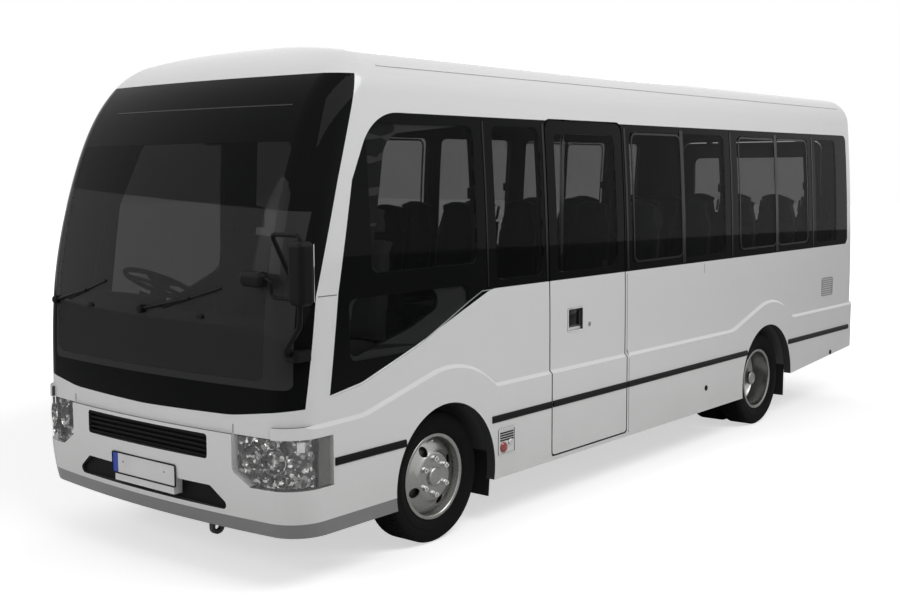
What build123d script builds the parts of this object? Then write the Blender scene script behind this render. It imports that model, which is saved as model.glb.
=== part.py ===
# Minibus, about 7 m long, right-hand drive, with a passenger door behind the left front wheel.
# Millimetres. +X is the vehicle's left side, -Y is forward and +Z is up.
# The origin is on the ground, halfway along the body and halfway across it.

import os
from math import acos, asin, atan2, cos, hypot, pi, radians, sin, sqrt, tan

from build123d import *

# Driving dimensions of the whole vehicle
LENGTH = 6990
WIDTH = 2080
HEIGHT = 2660
WHEELBASE = 3935
FRONT_AXLE_Y = -2300
REAR_AXLE_Y = FRONT_AXLE_Y + WHEELBASE
TYRE_RADIUS = 360
TYRE_WIDTH = 200

# Radial play of a shaft in its bore
PLAY = 0.05

# Body shell
FRONT_Y = -LENGTH / 2
REAR_Y = LENGTH / 2
BULGE = 18
UPPER_HALF_WIDTH = WIDTH / 2 - BULGE
SILL_Z = 275
WALL = 40
GLASS = 12
FRONT_CORNER_R = 170
REAR_CORNER_R = 130
ROOF_CORNER_R = 230
SIDE_R = 16000
CROWN_R = 5200
SIDE_TURN_Z = 1000
FRONT_BOW_R = 7000
REAR_BOW_R = 9000

# Heights of the lines that run round the body
BUMPER_TOP_Z = 752
SHOULDER_Z = 819
FLOOR_Z = 640
FLOOR_THICKNESS = 30
BELT_Z = 1350
WINDOW_TOP_Z = 2290
ROOF_SEAM_Z = 2524
PILLAR_SEAM_Z = 1414
WINDSCREEN_TOP_Z = 2472

# Wheel arches
FRONT_ARCH_R = 412
REAR_ARCH_R = 435
FRONT_FLARE = (-2270, 612, -2938, SHOULDER_Z)
REAR_FLARE = (1680, 624, 1040, 826)

# Passenger door, in the left side
DOOR_FRONT_Y = -1335
DOOR_REAR_Y = -475
DOOR_BOTTOM_Z = 300
DOOR_TOP_Z = 2300
DOOR_GAP = 10
ARM_LENGTH = 450
POST_R = 18
DOOR_PIN_R = 12
POST_X = 880
POST_Y = -505
ARM_HEIGHTS = (760, 1240)

# Driver's door, in the right side
DRIVER_FRONT_Y = -3105
DRIVER_REAR_Y = -2020
DRIVER_BOTTOM_Z = 430
DRIVER_ARCH_R = 445
DRIVER_GAP = 8

# Tailgate, in the rear wall
TAILGATE_HALF = 700
TAILGATE_BOTTOM_Z = 790
TAILGATE_TOP_Z = 2260
TAILGATE_GAP = 8

# Seats
SEAT_WIDTH = 390
SEAT_PAIR = (365, 760)
DRIVER_X = -485
LEFT_ROWS = [-380, 365, 1110, 1855]
RIGHT_ROWS = [-1740, -995, -250, 495, 1240, 1985]
BENCH_Y = 2650
FRONT_SEAT_Y = -2860

# Wheel housings, sheet thickness, entrance steps (x of each riser, z of each tread) and engine hump
HOUSING_FRONT_R = 470
HOUSING_REAR_R = 460
HOUSING_LOW_Z = 420
FLAP_FOOT_Z = 165
SHEET = 20
STEP_X = (560, 700, 968)
STEP_Z = (490, 345)
STEP_SHEET = 15
ENGINE_HUMP = (290, -2790, -1850, 930)

# Steering wheel
STEERING_HUB = (DRIVER_X, -2985, 1370)
STEERING_TILT = 28
STEERING_R = 205

# Chassis
RAIL_X = 380
RAIL_WIDTH = 70
RAIL_BOTTOM_Z = 470
RAIL_TOP_Z = FLOOR_Z - FLOOR_THICKNESS
JACKING_Y = -800
KINGPIN_X = 700
FRONT_WHEEL_X = 853
REAR_OUTER_X = 864
REAR_INNER_X = 614
TOW_EYE_Z = 225
TOW_EYE_R = 21
KINGPIN_R = 22
SPINDLE_R = 25
AXLE_R = 30

# Wheel discs with round hand holes
DISC_THICKNESS = 9
HAND_HOLES = 10
HAND_HOLE_R = 19
HAND_HOLE_PITCH_R = 166
HUB_R = 72
HUB_CAP_R = 52

# Outer face of the front wheel's disc: x from the wheel's middle, radius
FRONT_DISH = [(30, 218), (44, 200), (70, 150), (86, 128), (86, 45)]
# Outer face of a rear wheel's disc, deep inside the outer wheel
REAR_DISH = [(-40, 218), (-62, 200), (-102, 150), (-117, 128), (-117, 45)]

# Engine and gearbox block: half width, front y, rear y, bottom z, top z
ENGINE = (260, -2740, -1900, 380, 900)
# y of each member across the frame
CROSS_MEMBERS = [-3150, -1700, -1090, -480, 130, 740, 1300, 2150, 3000]


def on_side(x):
    """Place (y, z) outline points on a plane of constant x."""
    return lambda y, z: (x, y, z)


def on_front(y):
    """Place (x, z) outline points on a plane of constant y."""
    return lambda x, z: (x, y, z)


def on_floor(z):
    """Place (x, y) outline points on a plane of constant z."""
    return lambda x, y: (x, y, z)


def rounded_face(corners, place):
    """Face through corners (u, v, radius), each corner rounded by a tangent arc."""
    count = len(corners)
    edges = []
    ends = []
    for i in range(count):
        u, v, radius = corners[i]
        before = corners[i - 1]
        after = corners[(i + 1) % count]
        a = (before[0] - u, before[1] - v)
        b = (after[0] - u, after[1] - v)
        la = hypot(*a)
        lb = hypot(*b)
        a = (a[0] / la, a[1] / la)
        b = (b[0] / lb, b[1] / lb)
        if radius == 0:
            ends.append(((u, v), (u, v)))
            continue
        half = atan2(abs(a[0] * b[1] - a[1] * b[0]), a[0] * b[0] + a[1] * b[1]) / 2
        reach = radius / tan(half)
        start = (u + a[0] * reach, v + a[1] * reach)
        end = (u + b[0] * reach, v + b[1] * reach)
        m = (a[0] + b[0], a[1] + b[1])
        lm = hypot(*m)
        depth = radius / sin(half) - radius
        middle = (u + m[0] / lm * depth, v + m[1] / lm * depth)
        edges.append(ThreePointArc(place(*start), place(*middle), place(*end)))
        ends.append((start, end))
    for i in range(count):
        start = ends[i][1]
        end = ends[(i + 1) % count][0]
        if hypot(end[0] - start[0], end[1] - start[1]) > 0.01:
            edges.append(Line(place(*start), place(*end)))
    return make_face(Wire(Wire.combine(edges)[0].edges()))


def side_prism(corners, x0, x1):
    """Prism of a side-view outline (y, z, radius) from x0 to x1."""
    return extrude(rounded_face(corners, on_side(x0)), amount=x1 - x0, dir=(1, 0, 0))


def front_prism(corners, y0, y1):
    """Prism of a front-view outline (x, z, radius) from y0 to y1."""
    return extrude(rounded_face(corners, on_front(y0)), amount=y1 - y0, dir=(0, 1, 0))


def plan_prism(corners, z0, z1):
    """Prism of a plan outline (x, y, radius) from z0 to z1."""
    return extrude(rounded_face(corners, on_floor(z0)), amount=z1 - z0, dir=(0, 0, 1))


def block(x0, x1, y0, y1, z0, z1, radius=0):
    """Box between two corners, its upright edges rounded by radius."""
    solid = Pos((x0 + x1) / 2, (y0 + y1) / 2, (z0 + z1) / 2) * Box(x1 - x0, y1 - y0, z1 - z0)
    if radius:
        solid = fillet(solid.edges().filter_by(Axis.Z), radius)
    return solid


def rod(start, end, radius):
    """Round bar from start to end."""
    axis = Vector(*end) - Vector(*start)
    plane = Plane(origin=start, z_dir=axis)
    return extrude(plane * Circle(radius), amount=axis.length)


def bent_rod(points, bend, radius):
    """Round bar through points, its corners bent to one radius."""
    path = FilletPolyline(*points, radius=bend)
    start = Plane(origin=path @ 0, z_dir=path % 0)
    return sweep(start * Circle(radius), path=path)


def mirrored(shape):
    return mirror(shape, about=Plane.YZ)


# Body envelope

# Nose profile along the middle: height, y
NOSE = [
    (270, FRONT_Y + BULGE + 55),
    (420, FRONT_Y + BULGE + 10),
    (620, FRONT_Y + BULGE),
    (860, FRONT_Y + BULGE + 3),
    (1380, FRONT_Y + 48),
    (1900, FRONT_Y + 160),
    (2250, FRONT_Y + 295),
    (2450, FRONT_Y + 435),
    (2660, FRONT_Y + 840),
]


def cross_section(offset):
    """Closed outline across the body, moved outwards by offset."""
    half = UPPER_HALF_WIDTH + offset
    top = HEIGHT + offset
    corner = ROOF_CORNER_R + offset
    side_centre = (UPPER_HALF_WIDTH - SIDE_R, SIDE_TURN_Z)
    crown_centre = (0, HEIGHT - CROWN_R)
    side_r = SIDE_R + offset
    crown_r = CROWN_R + offset
    r1 = side_r - corner
    r2 = crown_r - corner
    dx = crown_centre[0] - side_centre[0]
    dz = crown_centre[1] - side_centre[1]
    d = hypot(dx, dz)
    along = (r1 * r1 - r2 * r2 + d * d) / (2 * d)
    across = sqrt(r1 * r1 - along * along)
    cx = side_centre[0] + (along * dx - across * dz) / d
    cz = side_centre[1] + (along * dz + across * dx) / d
    a1 = atan2(cz - side_centre[1], cx - side_centre[0])
    a2 = atan2(cz - crown_centre[1], cx - crown_centre[0])
    lower = (cx + corner * cos(a1), cz + corner * sin(a1))
    middle = (cx + corner * cos((a1 + a2) / 2), cz + corner * sin((a1 + a2) / 2))
    upper = (cx + corner * cos(a2), cz + corner * sin(a2))
    bow = (side_centre[0] + side_r * cos(a1 / 2), side_centre[1] + side_r * sin(a1 / 2))
    turn = (half, SIDE_TURN_Z)
    bottom = SILL_Z if offset >= 0 else SILL_Z - 200

    def at(point, sign=1):
        return (sign * point[0], 0, point[1])

    return make_face(
        Wire(
            [
                Line(at((half, bottom)), at(turn)),
                ThreePointArc(at(turn), at(bow), at(lower)),
                ThreePointArc(at(lower), at(middle), at(upper)),
                ThreePointArc(at(upper), (0, 0, top), at(upper, -1)),
                ThreePointArc(at(upper, -1), at(middle, -1), at(lower, -1)),
                ThreePointArc(at(lower, -1), at(bow, -1), at(turn, -1)),
                Line(at(turn, -1), at((half, bottom), -1)),
                Line(at((half, bottom), -1), at((half, bottom))),
            ]
        )
    )


def bowed_face(z, y, bow, far):
    """Plan face whose near edge is an arc through (0, y) and whose far edge is straight."""
    x = 1300
    sag = bow - sqrt(bow * bow - x * x)
    back = y + sag if far > y else y - sag
    return make_face(
        Wire(
            [
                ThreePointArc((-x, back, z), (0, y, z), (x, back, z)),
                Line((x, back, z), (x, far, z)),
                Line((x, far, z), (-x, far, z)),
                Line((-x, far, z), (-x, back, z)),
            ]
        )
    )


def ring_edges(solid, front):
    """Edges of the front or rear face, without the bottom one."""
    found = []
    for edge in solid.edges():
        box = edge.bounding_box()
        upright = box.max.Z - box.min.Z > 400
        if box.max.Z < SILL_Z + 30 or (edge.geom_type == GeomType.LINE and not upright):
            continue
        if (front and box.max.Y < -2300) or (not front and box.min.Y > 3000):
            found.append(edge)
    return found


def envelope(offset):
    """Whole outer form of the body, moved outwards by offset."""
    bar = extrude(cross_section(offset).moved(Location((0, -4000, 0))), amount=8000, dir=(0, 1, 0))
    lowest = -50 if offset >= 0 else -250
    sections = [(NOSE[0][0] + lowest, NOSE[0][1])] + NOSE[1:]
    nose = loft([bowed_face(z, y - offset, FRONT_BOW_R, 5000) for z, y in sections])
    tail = extrude(bowed_face(0, REAR_Y - BULGE + offset, REAR_BOW_R, -5000), amount=4000, dir=(0, 0, 1))
    solid = (bar & tail) & nose
    solid = fillet(ring_edges(solid, front=False), REAR_CORNER_R + offset)
    return fillet(ring_edges(solid, front=True), FRONT_CORNER_R + offset)


def side_bulge(corners, sign):
    """Lower side that stands proud, with a chamfered top edge."""
    inner = rounded_face(corners, on_side(0))
    core = extrude(inner, amount=UPPER_HALF_WIDTH, dir=(1, 0, 0))
    core = core - block(-1, 900, -4000, 4000, 0, 3000)
    face = rounded_face(corners, on_side(UPPER_HALF_WIDTH))
    proud = extrude(face, amount=BULGE, taper=45)
    if proud.bounding_box().max.X < UPPER_HALF_WIDTH + 1:
        proud = extrude(face, amount=-BULGE, taper=45)
    both = core + proud
    return both if sign > 0 else mirrored(both)


def flare(centre_y, radius, blend_y, end_z):
    """Side-view corners of the swelling over an arch: a line tangent to an arc, which ends at a kink."""
    dy = blend_y - centre_y
    dz = SHOULDER_Z - TYRE_RADIUS
    first = atan2(dz, dy) - acos(radius / hypot(dy, dz))
    last = asin((end_z - TYRE_RADIUS) / radius) + radians(5)
    middle = (first + last) / 2
    reach = radius / cos((first - last) / 2)
    rest = (TYRE_RADIUS + radius * sin(last) - end_z) / cos(last)
    return [
        (blend_y, SHOULDER_Z, 300),
        (centre_y + reach * cos(middle), TYRE_RADIUS + reach * sin(middle), radius),
        (centre_y + radius * cos(last) + rest * sin(last), end_z, 20),
    ]


# Side-view outline of the lower side, which stands proud: y, z, corner radius
BULGE_OUTLINE = [
    (-3600, 100, 0),
    (-3600, 805, 0),
    *flare(*FRONT_FLARE),
    *flare(*REAR_FLARE),
    (3600, 826, 0),
    (3600, 100, 0),
]

# Rear edge of the windscreen and front edge of the side glass, along the pillar: y, z
WINDSCREEN_EDGE = [(-3325, 800), (-3236, 1420), (-3060, 1957), (-2864, 2500)]
SIDE_GLASS_EDGE = [(-3162, 937), (-3090, 1420), (-2963, 1957), (-2790, 2290)]

# Lower edge of the side glass where it sweeps down to the front: y, z
SWOOP = [(-1890, BELT_Z), (-2525, 1110), (-2939, 972)]

# Window openings in each side: front y, rear y. The glass covers the pillars between them.
OPENINGS_LEFT = [(-1840, -1385), (-390, 930), (1140, 2430), (2575, 3010)]
OPENINGS_RIGHT = [(-1840, -1100), (-960, -110), (30, 930), (1140, 2430), (2575, 3010)]
OPENING_BOTTOM_Z = BELT_Z + 45
OPENING_TOP_Z = WINDOW_TOP_Z - 45

# Glass joints: y of each joint between panes
JOINTS_LEFT = [-1920, 1035, 2505]
JOINTS_RIGHT = [-1030, 1035, 2505]
GLASS_REAR_Y = 3250
JOINT_WIDTH = 4


def glass_band(grow=0):
    """Side-view outline of the whole dark glass area, moved outwards by grow."""
    (y0, z0), (y1, z1), (y2, z2), (y3, z3) = SIDE_GLASS_EDGE
    return [
        (y0 - grow, z0 - grow, 0),
        (y1 - grow, z1, 0),
        (y2 - grow, z2, 0),
        (y3 - grow, z3 + grow, 300),
        (GLASS_REAR_Y + grow, WINDOW_TOP_Z + grow, 60),
        (GLASS_REAR_Y + grow, BELT_Z - grow, 60),
        (SWOOP[0][0], BELT_Z - grow, 250),
        (SWOOP[1][0], SWOOP[1][1] - grow, 300),
        (SWOOP[2][0], SWOOP[2][1] - grow, 200),
    ]


def passenger_opening(inset):
    """Side-view outline of the passenger doorway, moved inwards by inset."""
    return [
        (DOOR_FRONT_Y + inset, DOOR_BOTTOM_Z + inset, 25),
        (DOOR_FRONT_Y + inset, DOOR_TOP_Z - inset, 60),
        (DOOR_REAR_Y - inset, DOOR_TOP_Z - inset, 60),
        (DOOR_REAR_Y - inset, DOOR_BOTTOM_Z + inset, 25),
    ]


def driver_opening(inset):
    """Side view of the driver's doorway, moved inwards by inset; its rear foot follows the wheel arch."""
    edge = SIDE_GLASS_EDGE
    outline = side_prism(
        [
            (DRIVER_FRONT_Y + inset, DRIVER_BOTTOM_Z + inset, 30),
            (DRIVER_FRONT_Y + inset, edge[1][1] - 100, 0),
            (edge[2][0] + 20 + inset, edge[2][1], 0),
            (edge[3][0] + 25 + inset, DOOR_TOP_Z - inset, 120),
            (DRIVER_REAR_Y - inset, DOOR_TOP_Z - inset, 60),
            (DRIVER_REAR_Y - inset, DRIVER_BOTTOM_Z + inset, 0),
        ],
        -1200,
        -800,
    )
    arch = rod((-1300, FRONT_AXLE_Y, TYRE_RADIUS), (-700, FRONT_AXLE_Y, TYRE_RADIUS), DRIVER_ARCH_R + inset)
    return outline - arch


def tailgate_opening(inset):
    """Rear-view outline of the tailgate opening, moved inwards by inset."""
    half = TAILGATE_HALF - inset
    return [
        (-half, TAILGATE_BOTTOM_Z + inset, 60),
        (-half, TAILGATE_TOP_Z - inset, 90),
        (half, TAILGATE_TOP_Z - inset, 90),
        (half, TAILGATE_BOTTOM_Z + inset, 60),
    ]


def windscreen_zone(grow=0):
    """Everything the windscreen covers, seen from the front and from the side."""
    front = front_prism(
        [
            (-1100, 905 - grow, 0),
            (-640, 842 - grow, 900),
            (0, 828 - grow, 3000),
            (640, 842 - grow, 900),
            (1100, 905 - grow, 0),
            (1100, WINDSCREEN_TOP_Z + grow, 0),
            (-1100, WINDSCREEN_TOP_Z + grow, 0),
        ],
        -3600,
        -2400,
    )
    edge = [(y + grow, z, 0) for y, z in WINDSCREEN_EDGE]
    side = side_prism([(-3700, 700, 0), (-3700, 2600, 0)] + edge[::-1], -1100, 1100)
    return front & side


def wheel_arches():
    """Round wheel openings through both sides."""
    cutters = []
    for y, radius in ((FRONT_AXLE_Y, FRONT_ARCH_R), (REAR_AXLE_Y, REAR_ARCH_R)):
        for x0, x1 in ((-1200, -600), (600, 1200)):
            cutters.append(rod((x0, y, TYRE_RADIUS), (x1, y, TYRE_RADIUS), radius))
    return cutters


def lamp_outline(sign, grow=0):
    """Front-view outline of a headlamp: it wraps round the corner."""
    return [
        (sign * (655 - grow), 752 + grow, 0),
        (sign * (655 - grow), 575 - grow, 30),
        (sign * (770 - grow), 508 - grow, 30),
        (sign * 1200, 508 - grow, 0),
        (sign * 1200, 752 + grow, 0),
    ]


LAMP_REAR_Y = -3160
SLOT = (490, 612, 735)
GRILLE_SLATS = 5
INTAKE = [(-650, 372, 25), (-500, 482, 25), (500, 482, 25), (650, 372, 25)]


def slot_outline():
    """Front-view outline of the slot between the headlamps."""
    half, z0, z1 = SLOT
    return [(-half, z0, 18), (-half, z1, 18), (half, z1, 18), (half, z0, 18)]


def build_body(hollow):
    """Shell panels, glass, bumpers and doors as a dictionary of named solids."""
    outer = envelope(0)
    proud = envelope(BULGE)
    skin_depth = envelope(-GLASS)

    walls = outer
    for sign in (1, -1):
        walls = walls + (side_bulge(BULGE_OUTLINE, sign) & proud)
    walls = walls - hollow

    # The underside rises behind the rear wheels
    walls = walls - side_prism([(2040, 100, 0), (2040, 352, 0), (3700, 462, 0), (3700, 100, 0)], -1200, 1200)
    for cutter in wheel_arches():
        walls = walls - cutter

    # Windscreen: glass in a shallow rebate, with an opening behind it
    zone = windscreen_zone()
    glass_skin = outer - skin_depth
    windscreen = glass_skin & zone
    view = front_prism([(-850, 1000, 90), (-850, 2240, 110), (850, 2240, 110), (850, 1000, 90)], -3700, -2600)
    walls = walls - windscreen - view

    # Side glass: one band each side, parted into panes, over framed openings
    panes = {}
    for sign, openings, joints in ((1, OPENINGS_LEFT, JOINTS_LEFT), (-1, OPENINGS_RIGHT, JOINTS_RIGHT)):
        x0, x1 = sorted((sign * 800, sign * 1100))
        band = glass_skin & side_prism(glass_band(), x0, x1)
        walls = walls - band
        for y0, y1 in openings:
            corners = [
                (y0, OPENING_BOTTOM_Z, 50),
                (y0, OPENING_TOP_Z, 50),
                (y1, OPENING_TOP_Z, 50),
                (y1, OPENING_BOTTOM_Z, 50),
            ]
            walls = walls - side_prism(corners, x0, x1)
        for y in joints:
            band = band - block(x0, x1, y - JOINT_WIDTH / 2, y + JOINT_WIDTH / 2, 800, 2500)
        panes[sign] = band

    # Front quarter openings: one under the other, with a bar between them on the left
    left_upper = [(-2850, 1500, 60), (-2700, 2180, 160), (-2010, OPENING_TOP_Z, 50), (-2010, 1500, 60)]
    left_lower = [(-3040, 1080, 60), (-2975, 1385, 60), (-2080, 1385, 60), (-2560, 1200, 120)]
    walls = walls - side_prism(left_upper, 800, 1100) - side_prism(left_lower, 800, 1100)

    # Passenger door
    way = side_prism(passenger_opening(0), 800, 1100)
    leaf = side_prism(passenger_opening(DOOR_GAP), 800, 1100)
    passenger_door = walls & leaf
    passenger_glass = panes[1] & leaf
    window = [
        (DOOR_FRONT_Y + 95, OPENING_BOTTOM_Z, 50),
        (DOOR_FRONT_Y + 95, OPENING_TOP_Z - 30, 50),
        (DOOR_REAR_Y - 95, OPENING_TOP_Z - 30, 50),
        (DOOR_REAR_Y - 95, OPENING_BOTTOM_Z, 50),
    ]
    passenger_door = passenger_door - side_prism(window, 800, 1100)
    handle = (-1136, -980, 1033, 1164)
    passenger_door = passenger_door - block(1005, 1100, *handle)
    walls = walls - way
    panes[1] = panes[1] - way

    # Driver's door
    way = driver_opening(0)
    leaf = driver_opening(DRIVER_GAP)
    driver_door = walls & leaf
    driver_glass = panes[-1] & leaf
    window = [
        (-2990, 1090, 60),
        (-2900, 1800, 0),
        (-2715, 2200, 150),
        (DRIVER_REAR_Y - 90, OPENING_TOP_Z - 30, 50),
        (DRIVER_REAR_Y - 90, 1395, 120),
        (-2560, 1200, 200),
    ]
    driver_door = driver_door - side_prism(window, -1100, -800)
    driver_door = driver_door - block(-1100, -1005, -2250, -2110, 1000, 1060)
    walls = walls - way
    panes[-1] = panes[-1] - way

    # Tailgate
    way = front_prism(tailgate_opening(0), 3200, 3700)
    leaf = front_prism(tailgate_opening(TAILGATE_GAP), 3200, 3700)
    tailgate = walls & leaf
    half = TAILGATE_HALF - 75
    pane = [(-half, 1330, 90), (-half, 2150, 90), (half, 2150, 90), (half, 1330, 90)]
    hole = [(-half + 40, 1370, 70), (-half + 40, 2110, 70), (half - 40, 2110, 70), (half - 40, 1370, 70)]
    tailgate_glass = glass_skin & front_prism(pane, 3200, 3700)
    tailgate = tailgate - tailgate_glass - front_prism(hole, 3200, 3700)
    walls = walls - way

    # Front bumper, with lamp housings, a slot and a lower intake
    bumper_zone = block(-1200, 1200, -3700, FRONT_AXLE_Y - 200, 0, BUMPER_TOP_Z)
    walls = walls - bumper_zone
    bumper = ((proud - hollow) & bumper_zone) - driver_opening(0)
    for cutter in wheel_arches():
        bumper = bumper - cutter
    lamps = []
    for sign in (1, -1):
        socket = front_prism(lamp_outline(sign), -3700, LAMP_REAR_Y)
        bumper = bumper - socket
        lamps.append((proud - hollow) & socket)
    bumper = bumper - front_prism(slot_outline(), -3700, -3300) - front_prism(INTAKE, -3700, -3300)

    # Rear bumper
    rear_zone = block(-1200, 1200, 3300, 3700, 0, 745)
    walls = walls - rear_zone
    rear_bumper = (proud - hollow) & rear_zone
    rear_bumper = rear_bumper - side_prism(
        [(2040, 0, 0), (2040, 352, 0), (3700, 462, 0), (3700, 0, 0)], -1200, 1200
    )

    # Tail lamps on the rear corners
    tails = []
    for sign in (1, -1):
        x0, x1 = sorted((sign * 800, sign * 1200))
        socket = block(x0, x1, 3395, 3700, 800, 1180)
        walls = walls - socket
        tails.append((outer - skin_depth) & socket)
        tails.append(socket & (skin_depth - hollow))

    # Panels
    roof_zone = block(-1200, 1200, -3700, 3700, ROOF_SEAM_Z, 2800)
    pillar = [
        (-3700, PILLAR_SEAM_Z, 0),
        (-3000, PILLAR_SEAM_Z, 0),
        (-2600, ROOF_SEAM_Z, 0),
        (-3700, ROOF_SEAM_Z, 0),
    ]
    frame_zone = side_prism(pillar, -1200, 1200)
    panel_zone = block(-650, 650, -3700, -3200, 0, PILLAR_SEAM_Z)
    rear_zone = block(-1200, 1200, 3300, 3700, 0, ROOF_SEAM_Z)
    rest = walls - roof_zone - frame_zone - panel_zone - rear_zone
    left_half = block(0, 1200, -3700, 3700, 0, 2800)
    return {
        "roof": walls & roof_zone,
        "windscreen_frame": (walls & frame_zone) - roof_zone,
        "front_panel": walls & panel_zone,
        "left_side": rest & left_half,
        "right_side": rest - left_half,
        "rear_end": walls & rear_zone,
        "front_bumper": bumper,
        "rear_bumper": rear_bumper,
        "headlamps": lamps,
        "tail_lamps": tails,
        "windscreen": windscreen,
        "left_windows": panes[1],
        "right_windows": panes[-1],
        "passenger_door": passenger_door,
        "passenger_door_glass": passenger_glass,
        "driver_door": driver_door,
        "driver_door_glass": driver_glass,
        "tailgate": tailgate,
        "tailgate_glass": tailgate_glass,
    }


# Seats and the inside of the cabin

# Side view of a seat: y behind its front edge, z above the floor, corner radius
SEAT_OUTLINE = [
    (0, 320, 40),
    (10, 440, 50),
    (375, 415, 40),
    (470, 1000, 60),
    (500, 1160, 45),
    (590, 1160, 40),
    (560, 900, 80),
    (480, 320, 60),
]


def seat_row(y, centres, width):
    """Seats side by side, closed up into one upholstered block, on a tray with two legs."""
    corners = [(y + v, FLOOR_Z + w, r) for v, w, r in SEAT_OUTLINE]
    x0 = min(centres) - width / 2
    x1 = max(centres) + width / 2
    solid = side_prism(corners, x0, x1)
    solid = solid + block(x0 + 30, x1 - 30, y + 60, y + 420, FLOOR_Z + 285, FLOOR_Z + 322)
    for x in (x0 + 50, x1 - 50):
        solid = solid + block(x - 20, x + 20, y + 100, y + 400, FLOOR_Z, FLOOR_Z + 290)
    return solid


def build_seats():
    """Rows either side of the aisle, the rear bench and the two front seats."""
    bulges = []
    for y, radius in ((FRONT_AXLE_Y, HOUSING_FRONT_R), (REAR_AXLE_Y, HOUSING_REAR_R)):
        for x0, x1 in ((-1000, -480), (480, 1000)):
            bulges.append(rod((x0, y, TYRE_RADIUS), (x1, y, TYRE_RADIUS), radius))

    def rows(fronts, centres):
        made = [seat_row(y, centres, SEAT_WIDTH) for y in fronts]
        for cutter in bulges:
            made = [row - cutter for row in made]
        return made

    bench = seat_row(BENCH_Y, (-740, -370, 0, 370, 740), 365)
    front = rows([FRONT_SEAT_Y], (DRIVER_X,)) + rows([FRONT_SEAT_Y], (-DRIVER_X,))
    return {
        "left_seats": rows(LEFT_ROWS, SEAT_PAIR),
        "right_seats": rows(RIGHT_ROWS, [-x for x in SEAT_PAIR]),
        "rear_bench": [bench],
        "front_seats": front,
    }


def wheel_housing(y, radius, low):
    """Half-round housing over a wheel on each side, closed at its inner end above the floor."""
    both = []
    for sign in (1, -1):
        x0, x1 = sorted((sign * 480, sign * 982))
        shell = rod((x0, y, TYRE_RADIUS), (x1, y, TYRE_RADIUS), radius)
        x0, x1 = sorted((sign * 500, sign * 1000))
        shell = shell - rod((x0, y, TYRE_RADIUS), (x1, y, TYRE_RADIUS), radius - SHEET)
        x0, x1 = sorted((sign * 470, sign * 1000))
        shell = shell - block(x0, x1, y - 600, y + 600, -600, low)
        x0, x1 = sorted((sign * 470, sign * 500))
        shell = shell - block(x0, x1, y - 600, y + 600, -600, FLOOR_Z - FLOOR_THICKNESS)
        both.append(shell)
    return both


def build_engine_cover():
    """Box over the engine between the front seats, open underneath."""
    half, y0, y1, top = ENGINE_HUMP
    outside = block(-half, half, y0, y1, FLOOR_Z - FLOOR_THICKNESS, top)
    outside = fillet(outside.edges().group_by(Axis.Z)[-1], SHEET)
    return outside - block(-half + SHEET, half - SHEET, y0 + SHEET, y1 - SHEET, 0, top - SHEET)


def build_steps():
    """Entrance steps: two treads and their risers between end plates."""
    x_in, x_mid, x_out = STEP_X
    upper, lower = STEP_Z
    y0 = DOOR_FRONT_Y
    y1 = DOOR_REAR_Y
    bottom = FLOOR_Z - FLOOR_THICKNESS
    steps = block(x_in - STEP_SHEET, x_in, y0 - STEP_SHEET, y1 + STEP_SHEET, upper - STEP_SHEET, FLOOR_Z)
    steps = steps + block(x_in - STEP_SHEET, x_mid, y0, y1, upper - STEP_SHEET, upper)
    steps = steps + block(
        x_mid - STEP_SHEET, x_mid, y0 - STEP_SHEET, y1 + STEP_SHEET, lower - STEP_SHEET, upper
    )
    steps = steps + block(x_mid - STEP_SHEET, x_out, y0, y1, lower - STEP_SHEET, lower)
    for y in (y0 - STEP_SHEET, y1):
        steps = steps + block(
            x_mid - STEP_SHEET, UPPER_HALF_WIDTH - WALL, y, y + STEP_SHEET, lower - STEP_SHEET, bottom
        )
        steps = steps + block(x_in - STEP_SHEET, x_mid, y, y + STEP_SHEET, upper - STEP_SHEET, bottom)
    return steps


def build_floor(hollow):
    """Floor plate, cut for the wheel housings, the engine cover and the entrance steps, and those pieces."""
    floor = block(-1000, 1000, -3500, 3500, FLOOR_Z - FLOOR_THICKNESS, FLOOR_Z) & hollow
    housings = []
    for y, radius in ((FRONT_AXLE_Y, HOUSING_FRONT_R), (REAR_AXLE_Y, HOUSING_REAR_R)):
        for x0, x1 in ((-1000, -480), (480, 1000)):
            floor = floor - rod((x0, y, TYRE_RADIUS), (x1, y, TYRE_RADIUS), radius)
        housings += wheel_housing(y, radius, HOUSING_LOW_Z)
    half, y0, y1, _ = ENGINE_HUMP
    floor = floor - block(-half, half, y0, y1, 0, FLOOR_Z + 1)
    steps = build_steps()
    floor = floor - block(STEP_X[0], 1000, DOOR_FRONT_Y, DOOR_REAR_Y, 0, FLOOR_Z + 1) - steps
    return {
        "floor": floor,
        "wheel_housings": housings,
        "engine_cover": build_engine_cover(),
        "entrance_steps": steps,
    }


def steering_axis():
    """Direction from the column up through the steering wheel's hub."""
    angle = radians(STEERING_TILT)
    return Vector(0, sin(angle), cos(angle))


def build_dashboard(hollow):
    """Full-width dashboard with an instrument hood and the steering column."""
    profile = [
        (-3460, FLOOR_Z, 0),
        (-3460, 1240, 0),
        (-3300, 1300, 60),
        (-3110, 1260, 40),
        (-3085, 1130, 60),
        (-3230, 960, 80),
        (-3290, FLOOR_Z, 0),
    ]
    dash = side_prism(profile, -1000, 1000)
    hood = [(-3330, 1240, 0), (-3300, 1345, 50), (-3120, 1330, 20), (-3140, 1180, 20)]
    dash = dash + side_prism(hood, DRIVER_X - 230, DRIVER_X + 230)
    dash = dash & hollow
    hub = Vector(*STEERING_HUB)
    axis = steering_axis()
    column = rod(tuple(hub - axis * 45), tuple(hub - axis * 330), 38)
    return {"dashboard": dash + column}


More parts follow.
